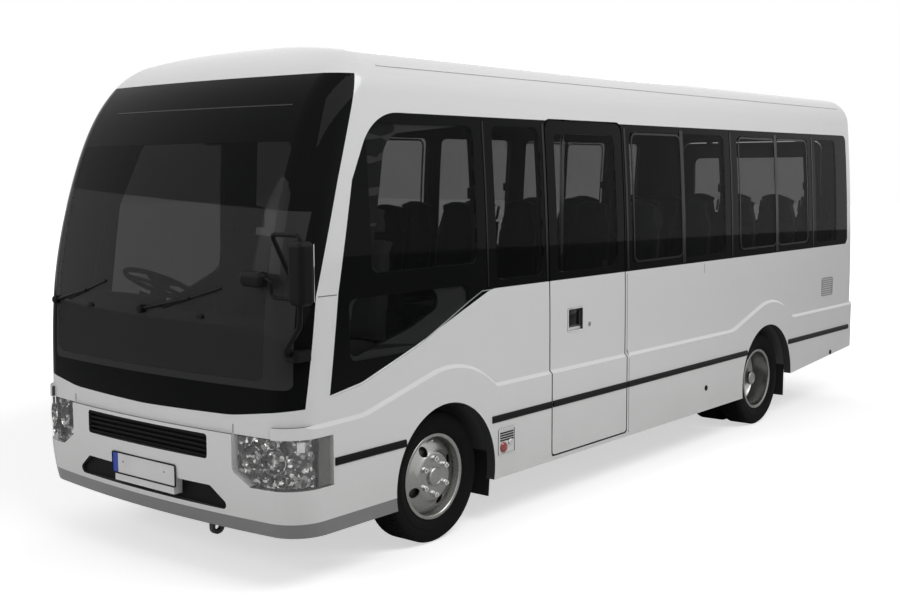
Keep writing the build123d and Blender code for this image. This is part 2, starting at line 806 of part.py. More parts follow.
def build_steering_wheel():
    """Rim, three spokes and a hub, made flat and then tilted on to the column."""
    rim = Torus(STEERING_R, 14)
    hub = Cylinder(52, 36)
    wheel = rim + hub
    for angle in (90, 210, 330):
        wheel = wheel + Rot(0, 0, angle) * (Pos(STEERING_R / 2, 0, 0) * Box(STEERING_R, 34, 14))
    boss = Pos(0, 0, -30) * Cylinder(24, 28)
    wheel = wheel + boss
    return {"steering_wheel": Pos(*STEERING_HUB) * (Rot(-STEERING_TILT, 0, 0) * wheel)}


# Chassis and running gear


def build_chassis():
    """Two channel rails joined by cross members, with a tow eye at each end."""
    frame = None
    inner = RAIL_X - RAIL_WIDTH / 2
    outer = RAIL_X + RAIL_WIDTH / 2
    for sign in (1, -1):
        x0, x1 = sorted((sign * inner, sign * outer))
        rail = block(x0, x1, -3260, 3280, RAIL_BOTTOM_Z, RAIL_TOP_Z)
        x0, x1 = sorted((sign * (inner - 1), sign * (outer - 8)))
        rail = rail - block(x0, x1, -3261, 3281, RAIL_BOTTOM_Z + 8, RAIL_TOP_Z - 8)
        x0, x1 = sorted((sign * inner, sign * outer))
        rail = rail + block(x0, x1, JACKING_Y - 60, JACKING_Y + 60, RAIL_BOTTOM_Z - 10, RAIL_BOTTOM_Z)
        frame = rail if frame is None else frame + rail
    for y in CROSS_MEMBERS:
        frame = frame + block(-outer + 8, outer - 8, y - 30, y + 30, RAIL_BOTTOM_Z + 8, RAIL_TOP_Z - 30)
    for y0, y1 in ((-3380, -3200), (3180, 3400)):
        hanger = block(RAIL_X - 12, RAIL_X + 12, y0, y1, RAIL_BOTTOM_Z - 90, RAIL_BOTTOM_Z + 8)
        eye_y = (y0 + 45) if y0 < 0 else (y1 - 45)
        tip = block(RAIL_X - 12, RAIL_X + 12, eye_y - 40, eye_y + 40, TOW_EYE_Z - 40, RAIL_BOTTOM_Z)
        hanger = hanger + fillet(tip.edges().filter_by(Axis.X).group_by(Axis.Z)[0], 38)
        hole = rod((RAIL_X - 40, eye_y, TOW_EYE_Z), (RAIL_X + 40, eye_y, TOW_EYE_Z), TOW_EYE_R)
        frame = frame + (hanger - hole)
    return {"chassis_frame": frame}


def wishbone(z0, z1, sign):
    """Flat A-arm from the subframe to the kingpin."""
    corners = [
        (sign * 330, FRONT_AXLE_Y - 190, 20),
        (sign * 330, FRONT_AXLE_Y + 190, 20),
        (sign * (KINGPIN_X + 34), FRONT_AXLE_Y + 34, 33),
        (sign * (KINGPIN_X + 34), FRONT_AXLE_Y - 34, 33),
    ]
    arm = plan_prism(corners, z0, z1)
    window = [
        (sign * 400, FRONT_AXLE_Y - 120, 15),
        (sign * 400, FRONT_AXLE_Y + 120, 15),
        (sign * 590, FRONT_AXLE_Y + 20, 8),
        (sign * 590, FRONT_AXLE_Y - 20, 8),
    ]
    arm = arm - plan_prism(window, z0 - 1, z1 + 1)
    pin = (sign * KINGPIN_X, FRONT_AXLE_Y)
    return arm - rod((*pin, z0 - 1), (*pin, z1 + 1), KINGPIN_R + 0.3)


def build_front_suspension():
    """Subframe with a lower and an upper wishbone each side."""
    y = FRONT_AXLE_Y
    frame = block(-360, 360, y - 60, y + 60, 255, 330)
    for sign in (1, -1):
        x0, x1 = sorted((sign * 330, sign * 415))
        frame = frame + block(x0, x1, y - 200, y + 200, 255, RAIL_BOTTOM_Z)
        frame = frame + wishbone(262, 288, sign) + wishbone(440, 462, sign)
    return {"front_suspension": frame}


def build_knuckle(sign):
    """Kingpin, upright, spindle and brake caliper of one front wheel."""
    x = sign * KINGPIN_X
    y = FRONT_AXLE_Y
    knuckle = rod((x, y, 250), (x, y, 474), KINGPIN_R)
    x0, x1 = sorted((x - sign * 34, x + sign * 45))
    knuckle = knuckle + block(x0, x1, y - 40, y + 40, 294, 434)
    knuckle = knuckle + rod((x, y, TYRE_RADIUS), (sign * 872, y, TYRE_RADIUS), SPINDLE_R)
    x0, x1 = sorted((x + sign * 30, sign * 792))
    return knuckle + block(x0, x1, y + 35, y + 165, TYRE_RADIUS - 50, TYRE_RADIUS + 50)


def tyre(x):
    """Tyre as a solid ring round the rim, centred on x, with a rounded shoulder."""
    half = TYRE_WIDTH / 2
    corners = [
        (-81, 222, 0),
        (-81, 236, 0),
        (-half, 275, 35),
        (-half + 2, TYRE_RADIUS - 14, 14),
        (-half + 18, TYRE_RADIUS, 14),
        (half - 18, TYRE_RADIUS, 14),
        (half - 2, TYRE_RADIUS - 14, 14),
        (half, 275, 35),
        (81, 236, 0),
        (81, 222, 0),
    ]
    ring = rounded_face(corners, on_front(0))
    return Pos(x, 0, 0) * revolve(ring, axis=Axis.X)


def rim(x, dish):
    """Pressed steel rim centred on x; dish is the profile (x, r) of its disc's outer face."""
    barrel = [
        (-88, 214, 0),
        (-88, 234, 0),
        (-82, 234, 0),
        (-82, 222, 0),
        (82, 222, 0),
        (82, 234, 0),
        (88, 234, 0),
        (88, 214, 0),
    ]
    solid = revolve(rounded_face(barrel, on_front(0)), axis=Axis.X)
    outer = [(u, r, 0) for u, r in dish]
    inner = [(u - DISC_THICKNESS, r, 0) for u, r in dish[::-1]]
    disc = revolve(rounded_face(outer + inner, on_front(0)), axis=Axis.X)
    for i in range(HAND_HOLES):
        angle = 2 * pi * (i + 0.5) / HAND_HOLES
        y = HAND_HOLE_PITCH_R * cos(angle)
        z = HAND_HOLE_PITCH_R * sin(angle)
        disc = disc - rod((-200, y, z), (200, y, z), HAND_HOLE_R)
    return Pos(x, 0, 0) * (solid + disc)


def front_wheel(sign):
    """Tyre and rim of one front wheel, spinning on the knuckle's spindle."""
    centre = (0, FRONT_AXLE_Y, TYRE_RADIUS)
    hub = rod((FRONT_WHEEL_X - 45, 0, 0), (FRONT_WHEEL_X + 70, 0, 0), HUB_R)
    hub = hub + rod((FRONT_WHEEL_X + 60, 0, 0), (FRONT_WHEEL_X + 104, 0, 0), HUB_CAP_R)
    wheel = rim(FRONT_WHEEL_X, FRONT_DISH) + hub
    wheel = wheel - rod((FRONT_WHEEL_X - 60, 0, 0), (875, 0, 0), SPINDLE_R + PLAY)
    ring = tyre(FRONT_WHEEL_X)
    if sign < 0:
        wheel = mirrored(wheel)
        ring = mirrored(ring)
    return Pos(*centre) * ring, Pos(*centre) * wheel


def rear_wheel(sign):
    """Twin tyres and their two rims bolted back to back, one spinning body."""
    centre = (0, REAR_AXLE_Y, TYRE_RADIUS)
    outer = rim(REAR_OUTER_X, REAR_DISH)
    inner = rim(REAR_INNER_X, [(-u + DISC_THICKNESS, r) for u, r in REAR_DISH])
    hub = rod((REAR_INNER_X + 40, 0, 0), (REAR_OUTER_X - 20, 0, 0), HUB_R + 20)
    hub = hub + rod((REAR_OUTER_X - 30, 0, 0), (REAR_OUTER_X + 50, 0, 0), HUB_CAP_R)
    wheel = outer + inner + hub
    wheel = wheel - rod((REAR_INNER_X, 0, 0), (REAR_OUTER_X, 0, 0), AXLE_R + PLAY)
    tyres = [tyre(REAR_OUTER_X), tyre(REAR_INNER_X)]
    if sign < 0:
        wheel = mirrored(wheel)
        tyres = [mirrored(ring) for ring in tyres]
    return [Pos(*centre) * ring for ring in tyres], Pos(*centre) * wheel


def build_rear_axle():
    """Axle tube with its differential, on a leaf spring each side."""
    y = REAR_AXLE_Y
    z = TYRE_RADIUS
    axle = rod((-600, y, z), (600, y, z), 52)
    axle = axle + rod((-REAR_OUTER_X + 5, y, z), (REAR_OUTER_X - 5, y, z), AXLE_R)
    axle = axle + (Pos(0, y, z) * Sphere(135) & block(-110, 110, y - 140, y + 140, z - 140, z + 140))
    axle = axle + rod((0, y - 210, z + 10), (0, y - 100, z + 10), 55)
    springs = []
    for sign in (1, -1):
        x = sign * RAIL_X
        leaf = [
            (y - 640, 452, 0),
            (y, 405, 0),
            (y + 640, 452, 0),
            (y + 640, 462, 0),
            (y + 120, 440, 0),
            (y - 120, 440, 0),
            (y - 640, 462, 0),
        ]
        springs.append(side_prism(leaf, x - 35, x + 35) - rod((-600, y, z), (600, y, z), 52))
        for end in (y - 640, y + 600):
            springs[-1] = springs[-1] + block(x - 35, x + 35, end, end + 40, 452, RAIL_BOTTOM_Z)
    return {"rear_axle": axle, "leaf_springs": springs}


def build_underbody():
    """Engine, propeller shaft, fuel tank, exhaust and mud flaps."""
    half, y0, y1, z0, z1 = ENGINE
    engine = block(-half, half, y0, y1, z0, z1)
    gearbox = block(-130, 130, y1, y1 + 560, 400, 600)
    shaft = rod((0, y1 + 562, 430), (0, REAR_AXLE_Y - 212, TYRE_RADIUS + 10), 38)
    for y in CROSS_MEMBERS:
        shaft = shaft - block(-500, 500, y - 31, y + 31, RAIL_BOTTOM_Z + 7, RAIL_TOP_Z)
        gearbox = gearbox - block(-500, 500, y - 31, y + 31, RAIL_BOTTOM_Z + 7, RAIL_TOP_Z)
    tank = block(-860, -470, -900, 250, 320, 560)
    tank = fillet(tank.edges().filter_by(Axis.Y), 60)
    silencer = rod((240, -60, 375), (240, 560, 375), 85)
    route = [
        (200, -1880, 430),
        (240, -1500, 375),
        (240, 1080, 375),
        (240, 1330, 441),
        (240, 2250, 441),
        (640, 2750, 400),
        (640, 3330, 400),
    ]
    exhaust = silencer + bent_rod(route, 90, 26)
    # Each flap leans back from its foot at y to its top, under the rear edge of the wheel housing
    flaps = []
    for sign in (1, -1):
        for y, lean, x0, x1 in ((FRONT_AXLE_Y + 428, 25, 745, 975), (REAR_AXLE_Y + 438, 4, 530, 975)):
            a, b = sorted((sign * x0, sign * x1))
            leaf = [
                (y, FLAP_FOOT_Z, 0),
                (y + 8, FLAP_FOOT_Z, 0),
                (y + lean + 8, HOUSING_LOW_Z, 0),
                (y + lean, HOUSING_LOW_Z, 0),
            ]
            flaps.append(side_prism(leaf, a, b))
    return {
        "engine": [engine, gearbox],
        "propeller_shaft": shaft,
        "fuel_tank": tank,
        "exhaust": exhaust,
        "mud_flaps": flaps,
    }


# Doors' own hardware


def passenger_arms():
    """Upright post by the door's rear edge, with two curved arms to the middle of the door."""
    post = rod((POST_X, POST_Y, 635), (POST_X, POST_Y, 1420), POST_R)
    pin_y = POST_Y - ARM_LENGTH
    for z in ARM_HEIGHTS:
        points = [
            (POST_X, POST_Y, z),
            (POST_X - 165, POST_Y - 15, z),
            (POST_X - 175, POST_Y - 200, z),
            (POST_X, pin_y, z),
        ]
        arm = bent_rod(points, 60, 15)
        eye = rod((POST_X, pin_y, z - 17), (POST_X, pin_y, z + 17), DOOR_PIN_R + 16)
        post = post + arm + eye
    for z in ARM_HEIGHTS:
        post = post - rod((POST_X, pin_y, z - 30), (POST_X, pin_y, z + 30), DOOR_PIN_R + PLAY)
    return post


def passenger_door_hinges(hollow):
    """Pins and plates inside the passenger door that the arms carry."""
    made = []
    y = POST_Y - ARM_LENGTH
    for z in ARM_HEIGHTS:
        for low in (z - 35, z + 23):
            plate = block(POST_X - 20, 1000, y - 22, y + 22, low, low + 12) & hollow
            made.append(plate)
        made.append(rod((POST_X, y, z - 35), (POST_X, y, z + 35), DOOR_PIN_R))
    return made


def post_brackets(hollow):
    """Two bearings on the rear jamb that hold the post."""
    made = []
    for z in (650, 1360):
        lug = block(POST_X - 32, POST_X + 32, POST_Y - 32, -430, z, z + 30)
        arm = block(POST_X - 32, 1000, -470, -430, z, z + 30)
        bearing = (lug + arm) - rod((POST_X, POST_Y, z - 5), (POST_X, POST_Y, z + 35), POST_R + PLAY)
        made.append(bearing & hollow)
    return made


DRIVER_HINGE = (-1050, -3101)
DRIVER_HINGE_Z = {"front_bumper": 600, "right_side": 870}


def driver_hinges():
    """Outside hinges: plates on the pillar below and on the door above, round one line."""
    x, y = DRIVER_HINGE
    fixed = []
    moving = []
    for z in DRIVER_HINGE_Z.values():
        fixed.append(rod((x, y, z), (x, y, z + 28), 9) + block(x, -1010, y - 40, y - 6, z, z + 28))
        moving.append(rod((x, y, z + 29), (x, y, z + 57), 9) + block(x, -1010, y + 6, y + 40, z + 29, z + 57))
    return fixed, moving


TAILGATE_HINGE = (3484, 2256)


def tailgate_hinges():
    """Outside hinges at the tailgate's top edge."""
    y, z = TAILGATE_HINGE
    fixed = []
    moving = []
    for x in (-480, 420):
        fixed.append(rod((x, y, z), (x + 28, y, z), 9) + block(x, x + 28, 3440, y, z + 6, z + 36))
        moving.append(rod((x + 29, y, z), (x + 57, y, z), 9) + block(x + 29, x + 57, 3440, y, z - 36, z - 6))
    return fixed, moving


# Mirrors, wipers, grille and plate


def build_mirrors(outer):
    """Main mirror on looped arms at the left front corner, with a small oval one beside it."""
    head = block(1085, 1185, -3490, -3400, 1400, 1690)
    head = fillet(head.edges(), 28)
    route = [(1000, -3345, 1150), (1010, -3440, 1170), (1120, -3445, 1300), (1130, -3445, 1420)]
    arm = bent_rod(route, 40, 13)
    route = [(965, -3330, 1480), (940, -3440, 1715), (1135, -3445, 1715), (1135, -3445, 1660)]
    top = bent_rod(route, 25, 11)
    base = block(960, 1045, -3400, -3290, 1125, 1175, 20)
    oval = block(750, 910, -3485, -3425, 1468, 1542)
    oval = fillet(oval.edges(), 28)
    route = [(1110, -3445, 1425), (940, -3445, 1425), (940, -3450, 1508), (880, -3455, 1508)]
    loop = bent_rod(route, 25, 9)
    whole = (head + arm + top + base + oval + loop) - outer
    return max(whole.solids(), key=lambda solid: solid.volume)


def build_driver_mirror(outer):
    """Mirror on the driver's door, on two bent arms that rise from a base under the glass."""
    head = block(-1185, -1090, -3050, -2965, 1290, 1590)
    head = fillet(head.edges(), 28)
    base = block(-1050, -960, -3035, -2955, 850, 940, 15)
    route = [(-1035, -3015, 880), (-1110, -3015, 980), (-1135, -3010, 1150), (-1135, -3008, 1310)]
    front = bent_rod(route, 40, 11)
    route = [(-1035, -2972, 910), (-1090, -2985, 990), (-1110, -2995, 1310)]
    rear = bent_rod(route, 60, 9)
    whole = (head + base + front + rear) - outer
    return max(whole.solids(), key=lambda solid: solid.volume)


def nose_y(x, z):
    """Where the outer face of the front stands at (x, z), away from its corners."""
    for (z0, y0), (z1, y1) in zip(NOSE, NOSE[1:]):
        if z0 <= z <= z1:
            middle = y0 + (y1 - y0) * (z - z0) / (z1 - z0)
            return middle + FRONT_BOW_R - sqrt(FRONT_BOW_R**2 - x * x)
    return None


# Wipers: pivot x, z and the blade's tip x, z
WIPERS = [(-850, 1300, -352, 1433), (-13, 1311, 555, 1442)]


def build_wipers(outer):
    """Two wipers parked along the foot of the windscreen."""
    made = []
    for x, z, tip_x, tip_z in WIPERS:
        pivot = rod((x, nose_y(x, z) + 30, z), (x, nose_y(x, z) - 22, z), 17) - outer
        inner = x + (tip_x - x) * 0.28
        inner_z = z + (tip_z - z) * 0.12
        middle = (inner + tip_x) / 2
        middle_z = (inner_z + tip_z) / 2
        arm = rod((x, nose_y(x, z) - 16, z), (middle, nose_y(middle, middle_z) - 12, middle_z), 7)
        start = (inner, nose_y(inner, inner_z) - 9, inner_z)
        end = (tip_x, nose_y(tip_x, tip_z) - 9, tip_z)
        made.append(pivot + ((arm + rod(start, end, 6)) - outer))
    return made


def build_grille():
    """Slatted radiator grille in the slot and a panel in the lower intake."""
    half, z0, z1 = SLOT
    back = block(-half, half, -3450, -3440, z0, z1)
    for i in range(GRILLE_SLATS):
        z = z0 + (z1 - z0) * (i + 0.5) / GRILLE_SLATS
        back = back + block(-half + 2, half - 2, -3472, -3445, z - 5, z + 5)
    cutter = front_prism(slot_outline(), -3700, -3300)
    return [back & cutter, front_prism(INTAKE, -3440, -3430)]


def build_plate():
    """Blank number plate on its holder, in front of the lower intake."""
    plate = block(-260, 260, -3494, -3491, 436, 546)
    holder = block(-245, 245, -3491, -3440, 395, 540)
    return {"number_plate": plate + holder}


def build_all():
    """Every named piece of the minibus."""
    hollow = envelope(-WALL)
    parts = build_body(hollow)
    fixed, moving = driver_hinges()
    for owner, piece in zip(DRIVER_HINGE_Z, fixed):
        parts[owner] = parts[owner] + piece
    for piece in moving:
        parts["driver_door"] = parts["driver_door"] + piece
    fixed, moving = tailgate_hinges()
    for piece in fixed:
        parts["rear_end"] = parts["rear_end"] + piece
    for piece in moving:
        parts["tailgate"] = parts["tailgate"] + piece
    for piece in passenger_door_hinges(hollow):
        parts["passenger_door"] = parts["passenger_door"] + piece
    for piece in post_brackets(hollow):
        parts["left_side"] = parts["left_side"] + piece
    parts["passenger_door_arms"] = passenger_arms()
    parts.update(build_seats())
    parts.update(build_floor(hollow))
    parts.update(build_dashboard(hollow))
    parts.update(build_steering_wheel())
    parts.update(build_chassis())
    parts.update(build_front_suspension())
    parts.update(build_rear_axle())
    parts.update(build_underbody())
    parts.update(build_plate())
    parts["front_bumper"] = parts["front_bumper"] - parts["number_plate"]
    outer = envelope(0)
    parts["mirrors"] = build_mirrors(outer)
    parts["driver_mirror"] = build_driver_mirror(outer)
    parts["wipers"] = build_wipers(outer)
    parts["grille"] = build_grille()
    for side, sign in (("left", 1), ("right", -1)):
        parts[f"{side}_knuckle"] = build_knuckle(sign)
        ring, wheel = front_wheel(sign)
        parts[f"front_{side}_tyre"] = ring
        parts[f"front_{side}_rim"] = wheel
        rings, wheel = rear_wheel(sign)
        parts[f"rear_{side}_tyres"] = rings
        parts[f"rear_{side}_rims"] = wheel
    return parts


if __name__ == "__main__":
    os.makedirs("parts", exist_ok=True)
    for name, shape in build_all().items():
        pieces = shape if isinstance(shape, list) else [shape]
        solids = [solid for piece in pieces for solid in piece.solids()]
        export_step(Compound(children=solids), f"parts/{name}.step")
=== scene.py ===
# %% [markdown]
# # A long minibus, dressed in Blender
# The rigid model arrives already built, with every panel, wheel and seat where it belongs.
# This lesson gives it paint, glass, rubber and cloth, and adds the small pieces that make it look real.
# Everything is in metres. +X is the vehicle's left side, -Y is forward and +Z is up.

import math

import bmesh
import bpy
from mathutils import Matrix, Vector


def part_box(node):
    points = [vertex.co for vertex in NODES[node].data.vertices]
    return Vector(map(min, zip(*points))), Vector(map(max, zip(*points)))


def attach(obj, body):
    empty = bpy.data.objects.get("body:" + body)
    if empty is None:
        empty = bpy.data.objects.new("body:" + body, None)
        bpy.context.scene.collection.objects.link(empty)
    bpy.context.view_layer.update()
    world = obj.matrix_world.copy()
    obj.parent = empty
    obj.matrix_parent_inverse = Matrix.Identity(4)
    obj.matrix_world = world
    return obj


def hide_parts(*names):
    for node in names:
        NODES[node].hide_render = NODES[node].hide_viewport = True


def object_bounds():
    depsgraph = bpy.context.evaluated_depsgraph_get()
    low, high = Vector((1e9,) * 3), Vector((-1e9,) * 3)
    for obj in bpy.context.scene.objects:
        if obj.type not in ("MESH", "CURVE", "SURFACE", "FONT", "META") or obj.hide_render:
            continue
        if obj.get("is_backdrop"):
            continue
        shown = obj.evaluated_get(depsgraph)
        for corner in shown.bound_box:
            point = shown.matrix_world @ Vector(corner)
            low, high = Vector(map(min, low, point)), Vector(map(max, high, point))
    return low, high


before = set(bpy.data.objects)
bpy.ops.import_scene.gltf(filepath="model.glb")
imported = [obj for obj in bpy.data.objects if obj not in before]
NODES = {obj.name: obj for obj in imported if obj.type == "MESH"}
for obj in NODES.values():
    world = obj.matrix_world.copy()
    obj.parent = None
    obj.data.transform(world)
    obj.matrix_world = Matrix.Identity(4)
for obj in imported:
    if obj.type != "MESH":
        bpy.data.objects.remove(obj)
CAD_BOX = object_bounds()
LOW, HIGH = CAD_BOX
print("model box", [round(c, 3) for c in (*LOW, *HIGH)])

# %% [markdown]
# ## Camera
# The photograph was taken from ahead of the left front corner, a little above eye level.
# A pinhole camera is a place, two angles and a lens. The slight roll levels the horizon of the picture.

# %% Camera
CAMERA_PLACE = Vector((5.0614, -7.1747, 1.9963))
CAMERA_AZIMUTH = math.radians(39.413)
CAMERA_ELEVATION = math.radians(6.081)
CAMERA_ROLL = -0.0042
LENS_MM = 48.335
SENSOR_MM = 36

back = Vector(
    (
        math.sin(CAMERA_AZIMUTH) * math.cos(CAMERA_ELEVATION),
        -math.cos(CAMERA_AZIMUTH) * math.cos(CAMERA_ELEVATION),
        math.sin(CAMERA_ELEVATION),
    )
)
camera_data = bpy.data.cameras.new("camera")
camera_data.lens = LENS_MM
camera_data.sensor_width = SENSOR_MM
camera = bpy.data.objects.new("camera", camera_data)
bpy.context.scene.collection.objects.link(camera)
camera.location = CAMERA_PLACE
camera.rotation_euler = (
    back.to_track_quat("Z", "Y").to_matrix() @ Matrix.Rotation(CAMERA_ROLL, 3, "Z")
).to_euler()
bpy.context.scene.camera = camera
print("camera at", tuple(CAMERA_PLACE), "lens", LENS_MM)

# %% [markdown]
# ## Studio
# A white paint shows its form only if the light has a direction, so a big soft lamp hangs high above the
# left side and weaker ones light the front and the far rear corner. Camera rays see a white background, and
# so do reflections and what shows through the glass, while the light that the world gives stays weak.

# %% Studio helpers
def link_object(name, data):
    """Object for some data, linked to the scene."""
    made = bpy.data.objects.new(name, data)
    bpy.context.scene.collection.objects.link(made)
    return made


def area_lamp(name, place, target, width, height, watts):
    """Rectangular lamp at place that faces target."""
    data = bpy.data.lights.new(name, "AREA")
    data.shape = "RECTANGLE"
    data.size = width
    data.size_y = height
    data.energy = watts
    lamp = link_object(name, data)
    lamp.location = place
    lamp.rotation_euler = (Vector(place) - Vector(target)).to_track_quat("Z", "Y").to_euler()
    return lamp

# %% Floor
FLOOR_HALF = 60
SHADOW_REACH = 4.2
FADE_LENGTH = 4.0

floor_mesh = bmesh.new()
bmesh.ops.create_grid(floor_mesh, x_segments=1, y_segments=1, size=FLOOR_HALF)
floor_data = bpy.data.meshes.new("studio_floor")
floor_mesh.to_mesh(floor_data)
floor_mesh.free()
studio_floor = link_object("studio_floor", floor_data)
studio_floor.location = (0, 0, LOW.z - 0.001)
studio_floor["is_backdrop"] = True
print("floor at z", round(studio_floor.location.z, 4))

# %% [markdown]
# The far floor would turn grey where the lamps no longer reach it, and a horizon would show. So for rays
# from the camera it glows white beyond the reach of the vehicle's shadow, and about half of the glow is kept
# underneath, which lifts the floor without lighting the vehicle.

# %% Floor paint
FLOOR_LIFT = 0.58
FLOOR_WHITE = 0.86

floor_paint = bpy.data.materials.new("studio_floor")
floor_paint.use_nodes = True
tree = floor_paint.node_tree
shader = tree.nodes["Principled BSDF"]
shader.inputs["Base Color"].default_value = (FLOOR_WHITE, FLOOR_WHITE, FLOOR_WHITE, 1)
shader.inputs["Roughness"].default_value = 0.9
shader.inputs["Specular IOR Level"].default_value = 0.1
shader.inputs["Emission Color"].default_value = (1, 1, 1, 1)
reach = tree.nodes.new("ShaderNodeVectorMath")
reach.operation = "LENGTH"
tree.links.new(tree.nodes.new("ShaderNodeTexCoord").outputs["Object"], reach.inputs[0])
fade = tree.nodes.new("ShaderNodeMapRange")
fade.inputs["From Min"].default_value = SHADOW_REACH
fade.inputs["From Max"].default_value = SHADOW_REACH + FADE_LENGTH
fade.inputs["To Min"].default_value = FLOOR_LIFT
fade.inputs["To Max"].default_value = 1.0
tree.links.new(reach.outputs["Value"], fade.inputs["Value"])
seen_rays = tree.nodes.new("ShaderNodeLightPath")
glow = tree.nodes.new("ShaderNodeMath")
glow.operation = "MULTIPLY"
tree.links.new(fade.outputs["Result"], glow.inputs[0])
tree.links.new(seen_rays.outputs["Is Camera Ray"], glow.inputs[1])
tree.links.new(glow.outputs[0], shader.inputs["Emission Strength"])
floor_data.materials.append(floor_paint)

# %% [markdown]
# The world lights everything evenly. Rays that end in it from the camera, from a reflection or through a pane
# see full white, and the rays that carry light see a much weaker tone.

# %% World
WORLD_LIGHT = 0.26

world = bpy.data.worlds.new("studio")
bpy.context.scene.world = world
world.use_nodes = True
tree = world.node_tree
background = tree.nodes["Background"]
background.inputs["Color"].default_value = (1, 1, 1, 1)
ray = tree.nodes.new("ShaderNodeLightPath")
shown = ray.outputs["Is Camera Ray"]
for kind in ("Is Glossy Ray", "Is Transmission Ray"):
    either = tree.nodes.new("ShaderNodeMath")
    either.operation = "MAXIMUM"
    tree.links.new(shown, either.inputs[0])
    tree.links.new(ray.outputs[kind], either.inputs[1])
    shown = either.outputs[0]
tone = tree.nodes.new("ShaderNodeMix")
tone.data_type = "FLOAT"
tone.inputs["A"].default_value = WORLD_LIGHT
tone.inputs["B"].default_value = 1.0
tree.links.new(shown, tone.inputs["Factor"])
tree.links.new(tone.outputs["Result"], background.inputs["Strength"])

# %% [markdown]
# A large lamp gives soft shadow edges, as a studio's fabric boxes do. Three are enough, and a table keeps
# their places and strengths in one view.

# %% Lamps
# Name, place, target, width, height, watts
LAMPS = [
    ("lamp_top", (5.5, -1.5, 6.5), (0.8, 0.0, 2.2), 8, 3, 250),
    ("lamp_front", (-2.0, -10.5, 4.5), (0, -3.0, 1.4), 5, 3, 170),
    ("lamp_rear", (-5.5, 7.5, 5.0), (0, 1.5, 1.2), 5, 3, 160),
]
for name, place, target, width, height, watts in LAMPS:
    area_lamp(name, place, target, width, height, watts)
bpy.context.scene.view_settings.view_transform = "Standard"
print("lamps", [row[0] for row in LAMPS])

# %% [markdown]
# ## Materials
# Each finish is a Principled shader in a material of its own. What several finishes share, such as a fine
# grain, a light film of dust or a woven cloth, is a node group with named inputs, placed where it is needed.
# All patterns read Object coordinates. These are the vehicle's own metres, because every piece sits at the
# origin.

# %% Helpers for node groups
def start_group(name, inputs, outputs):
    """Shader node group; each socket is given as (name, type, default or None)."""
    group = bpy.data.node_groups.new(name, "ShaderNodeTree")
    for entry, direction in [(i, "INPUT") for i in inputs] + [(o, "OUTPUT") for o in outputs]:
        label, kind, value = entry
        socket = group.interface.new_socket(name=label, in_out=direction, socket_type=kind)
        if value is not None:
            socket.default_value = value
    print("node group", name)
    return group, group.nodes.new("NodeGroupInput"), group.nodes.new("NodeGroupOutput")


def math_node(group, operation, a, b=None, clamp=False):
    """Math node whose inputs are sockets or numbers; returns its output."""
    made = group.nodes.new("ShaderNodeMath")
    made.operation = operation
    made.use_clamp = clamp
    for i, value in enumerate((a, b)):
        if value is None:
            continue
        if isinstance(value, (int, float)):
            made.inputs[i].default_value = value
        else:
            group.links.new(value, made.inputs[i])
    return made.outputs[0]


def object_point(group):
    """Object coordinates of the shaded point, and their three parts."""
    point = group.nodes.new("ShaderNodeTexCoord").outputs["Object"]
    parts = group.nodes.new("ShaderNodeSeparateXYZ")
    group.links.new(point, parts.inputs[0])
    return point, parts.outputs


NUMBER = "NodeSocketFloat"

# %% Grain: a fine even noise
grain_group, entrance, way_out = start_group(
    "grain",
    [("Scale", NUMBER, 400.0), ("Amount", NUMBER, 1.0)],
    [("Height", NUMBER, None), ("Value", NUMBER, None)],
)
point, parts = object_point(grain_group)
noise = grain_group.nodes.new("ShaderNodeTexNoise")
noise.inputs["Detail"].default_value = 3
grain_group.links.new(point, noise.inputs["Vector"])
grain_group.links.new(entrance.outputs["Scale"], noise.inputs["Scale"])
centred = math_node(grain_group, "SUBTRACT", noise.outputs["Fac"], 0.5)
scaled = math_node(grain_group, "MULTIPLY", centred, entrance.outputs["Amount"])
grain_group.links.new(scaled, way_out.inputs["Height"])
grain_group.links.new(math_node(grain_group, "ADD", scaled, 0.5), way_out.inputs["Value"])

# %% Road film: a dusty mask that is strongest low down
film_group, entrance, way_out = start_group(
    "road_film",
    [("Top", NUMBER, 0.9), ("Amount", NUMBER, 0.5)],
    [("Mask", NUMBER, None)],
)
point, parts = object_point(film_group)
noise = film_group.nodes.new("ShaderNodeTexNoise")
noise.inputs["Scale"].default_value = 3.5
noise.inputs["Detail"].default_value = 6
film_group.links.new(point, noise.inputs["Vector"])
fall = math_node(film_group, "DIVIDE", parts["Z"], entrance.outputs["Top"])
low_down = math_node(film_group, "SUBTRACT", 1.0, fall, clamp=True)
patchy = math_node(film_group, "MULTIPLY", low_down, noise.outputs["Fac"])
dusty = math_node(film_group, "MULTIPLY", patchy, entrance.outputs["Amount"], clamp=True)
film_group.links.new(dusty, way_out.inputs["Mask"])

# %% [markdown]
# The body panels are painted outside and lined inside. One mask tells the two apart: it compares the
# surface's normal with the direction from the middle of the cabin to the point.

# %% Facing the cabin
# The middle line of the cabin, as a span along Y and a span along Z
CABIN_Y = (-2.3, 2.8)
CABIN_Z = (0.7, 2.0)
OUTWARD_LEAST = 0.2

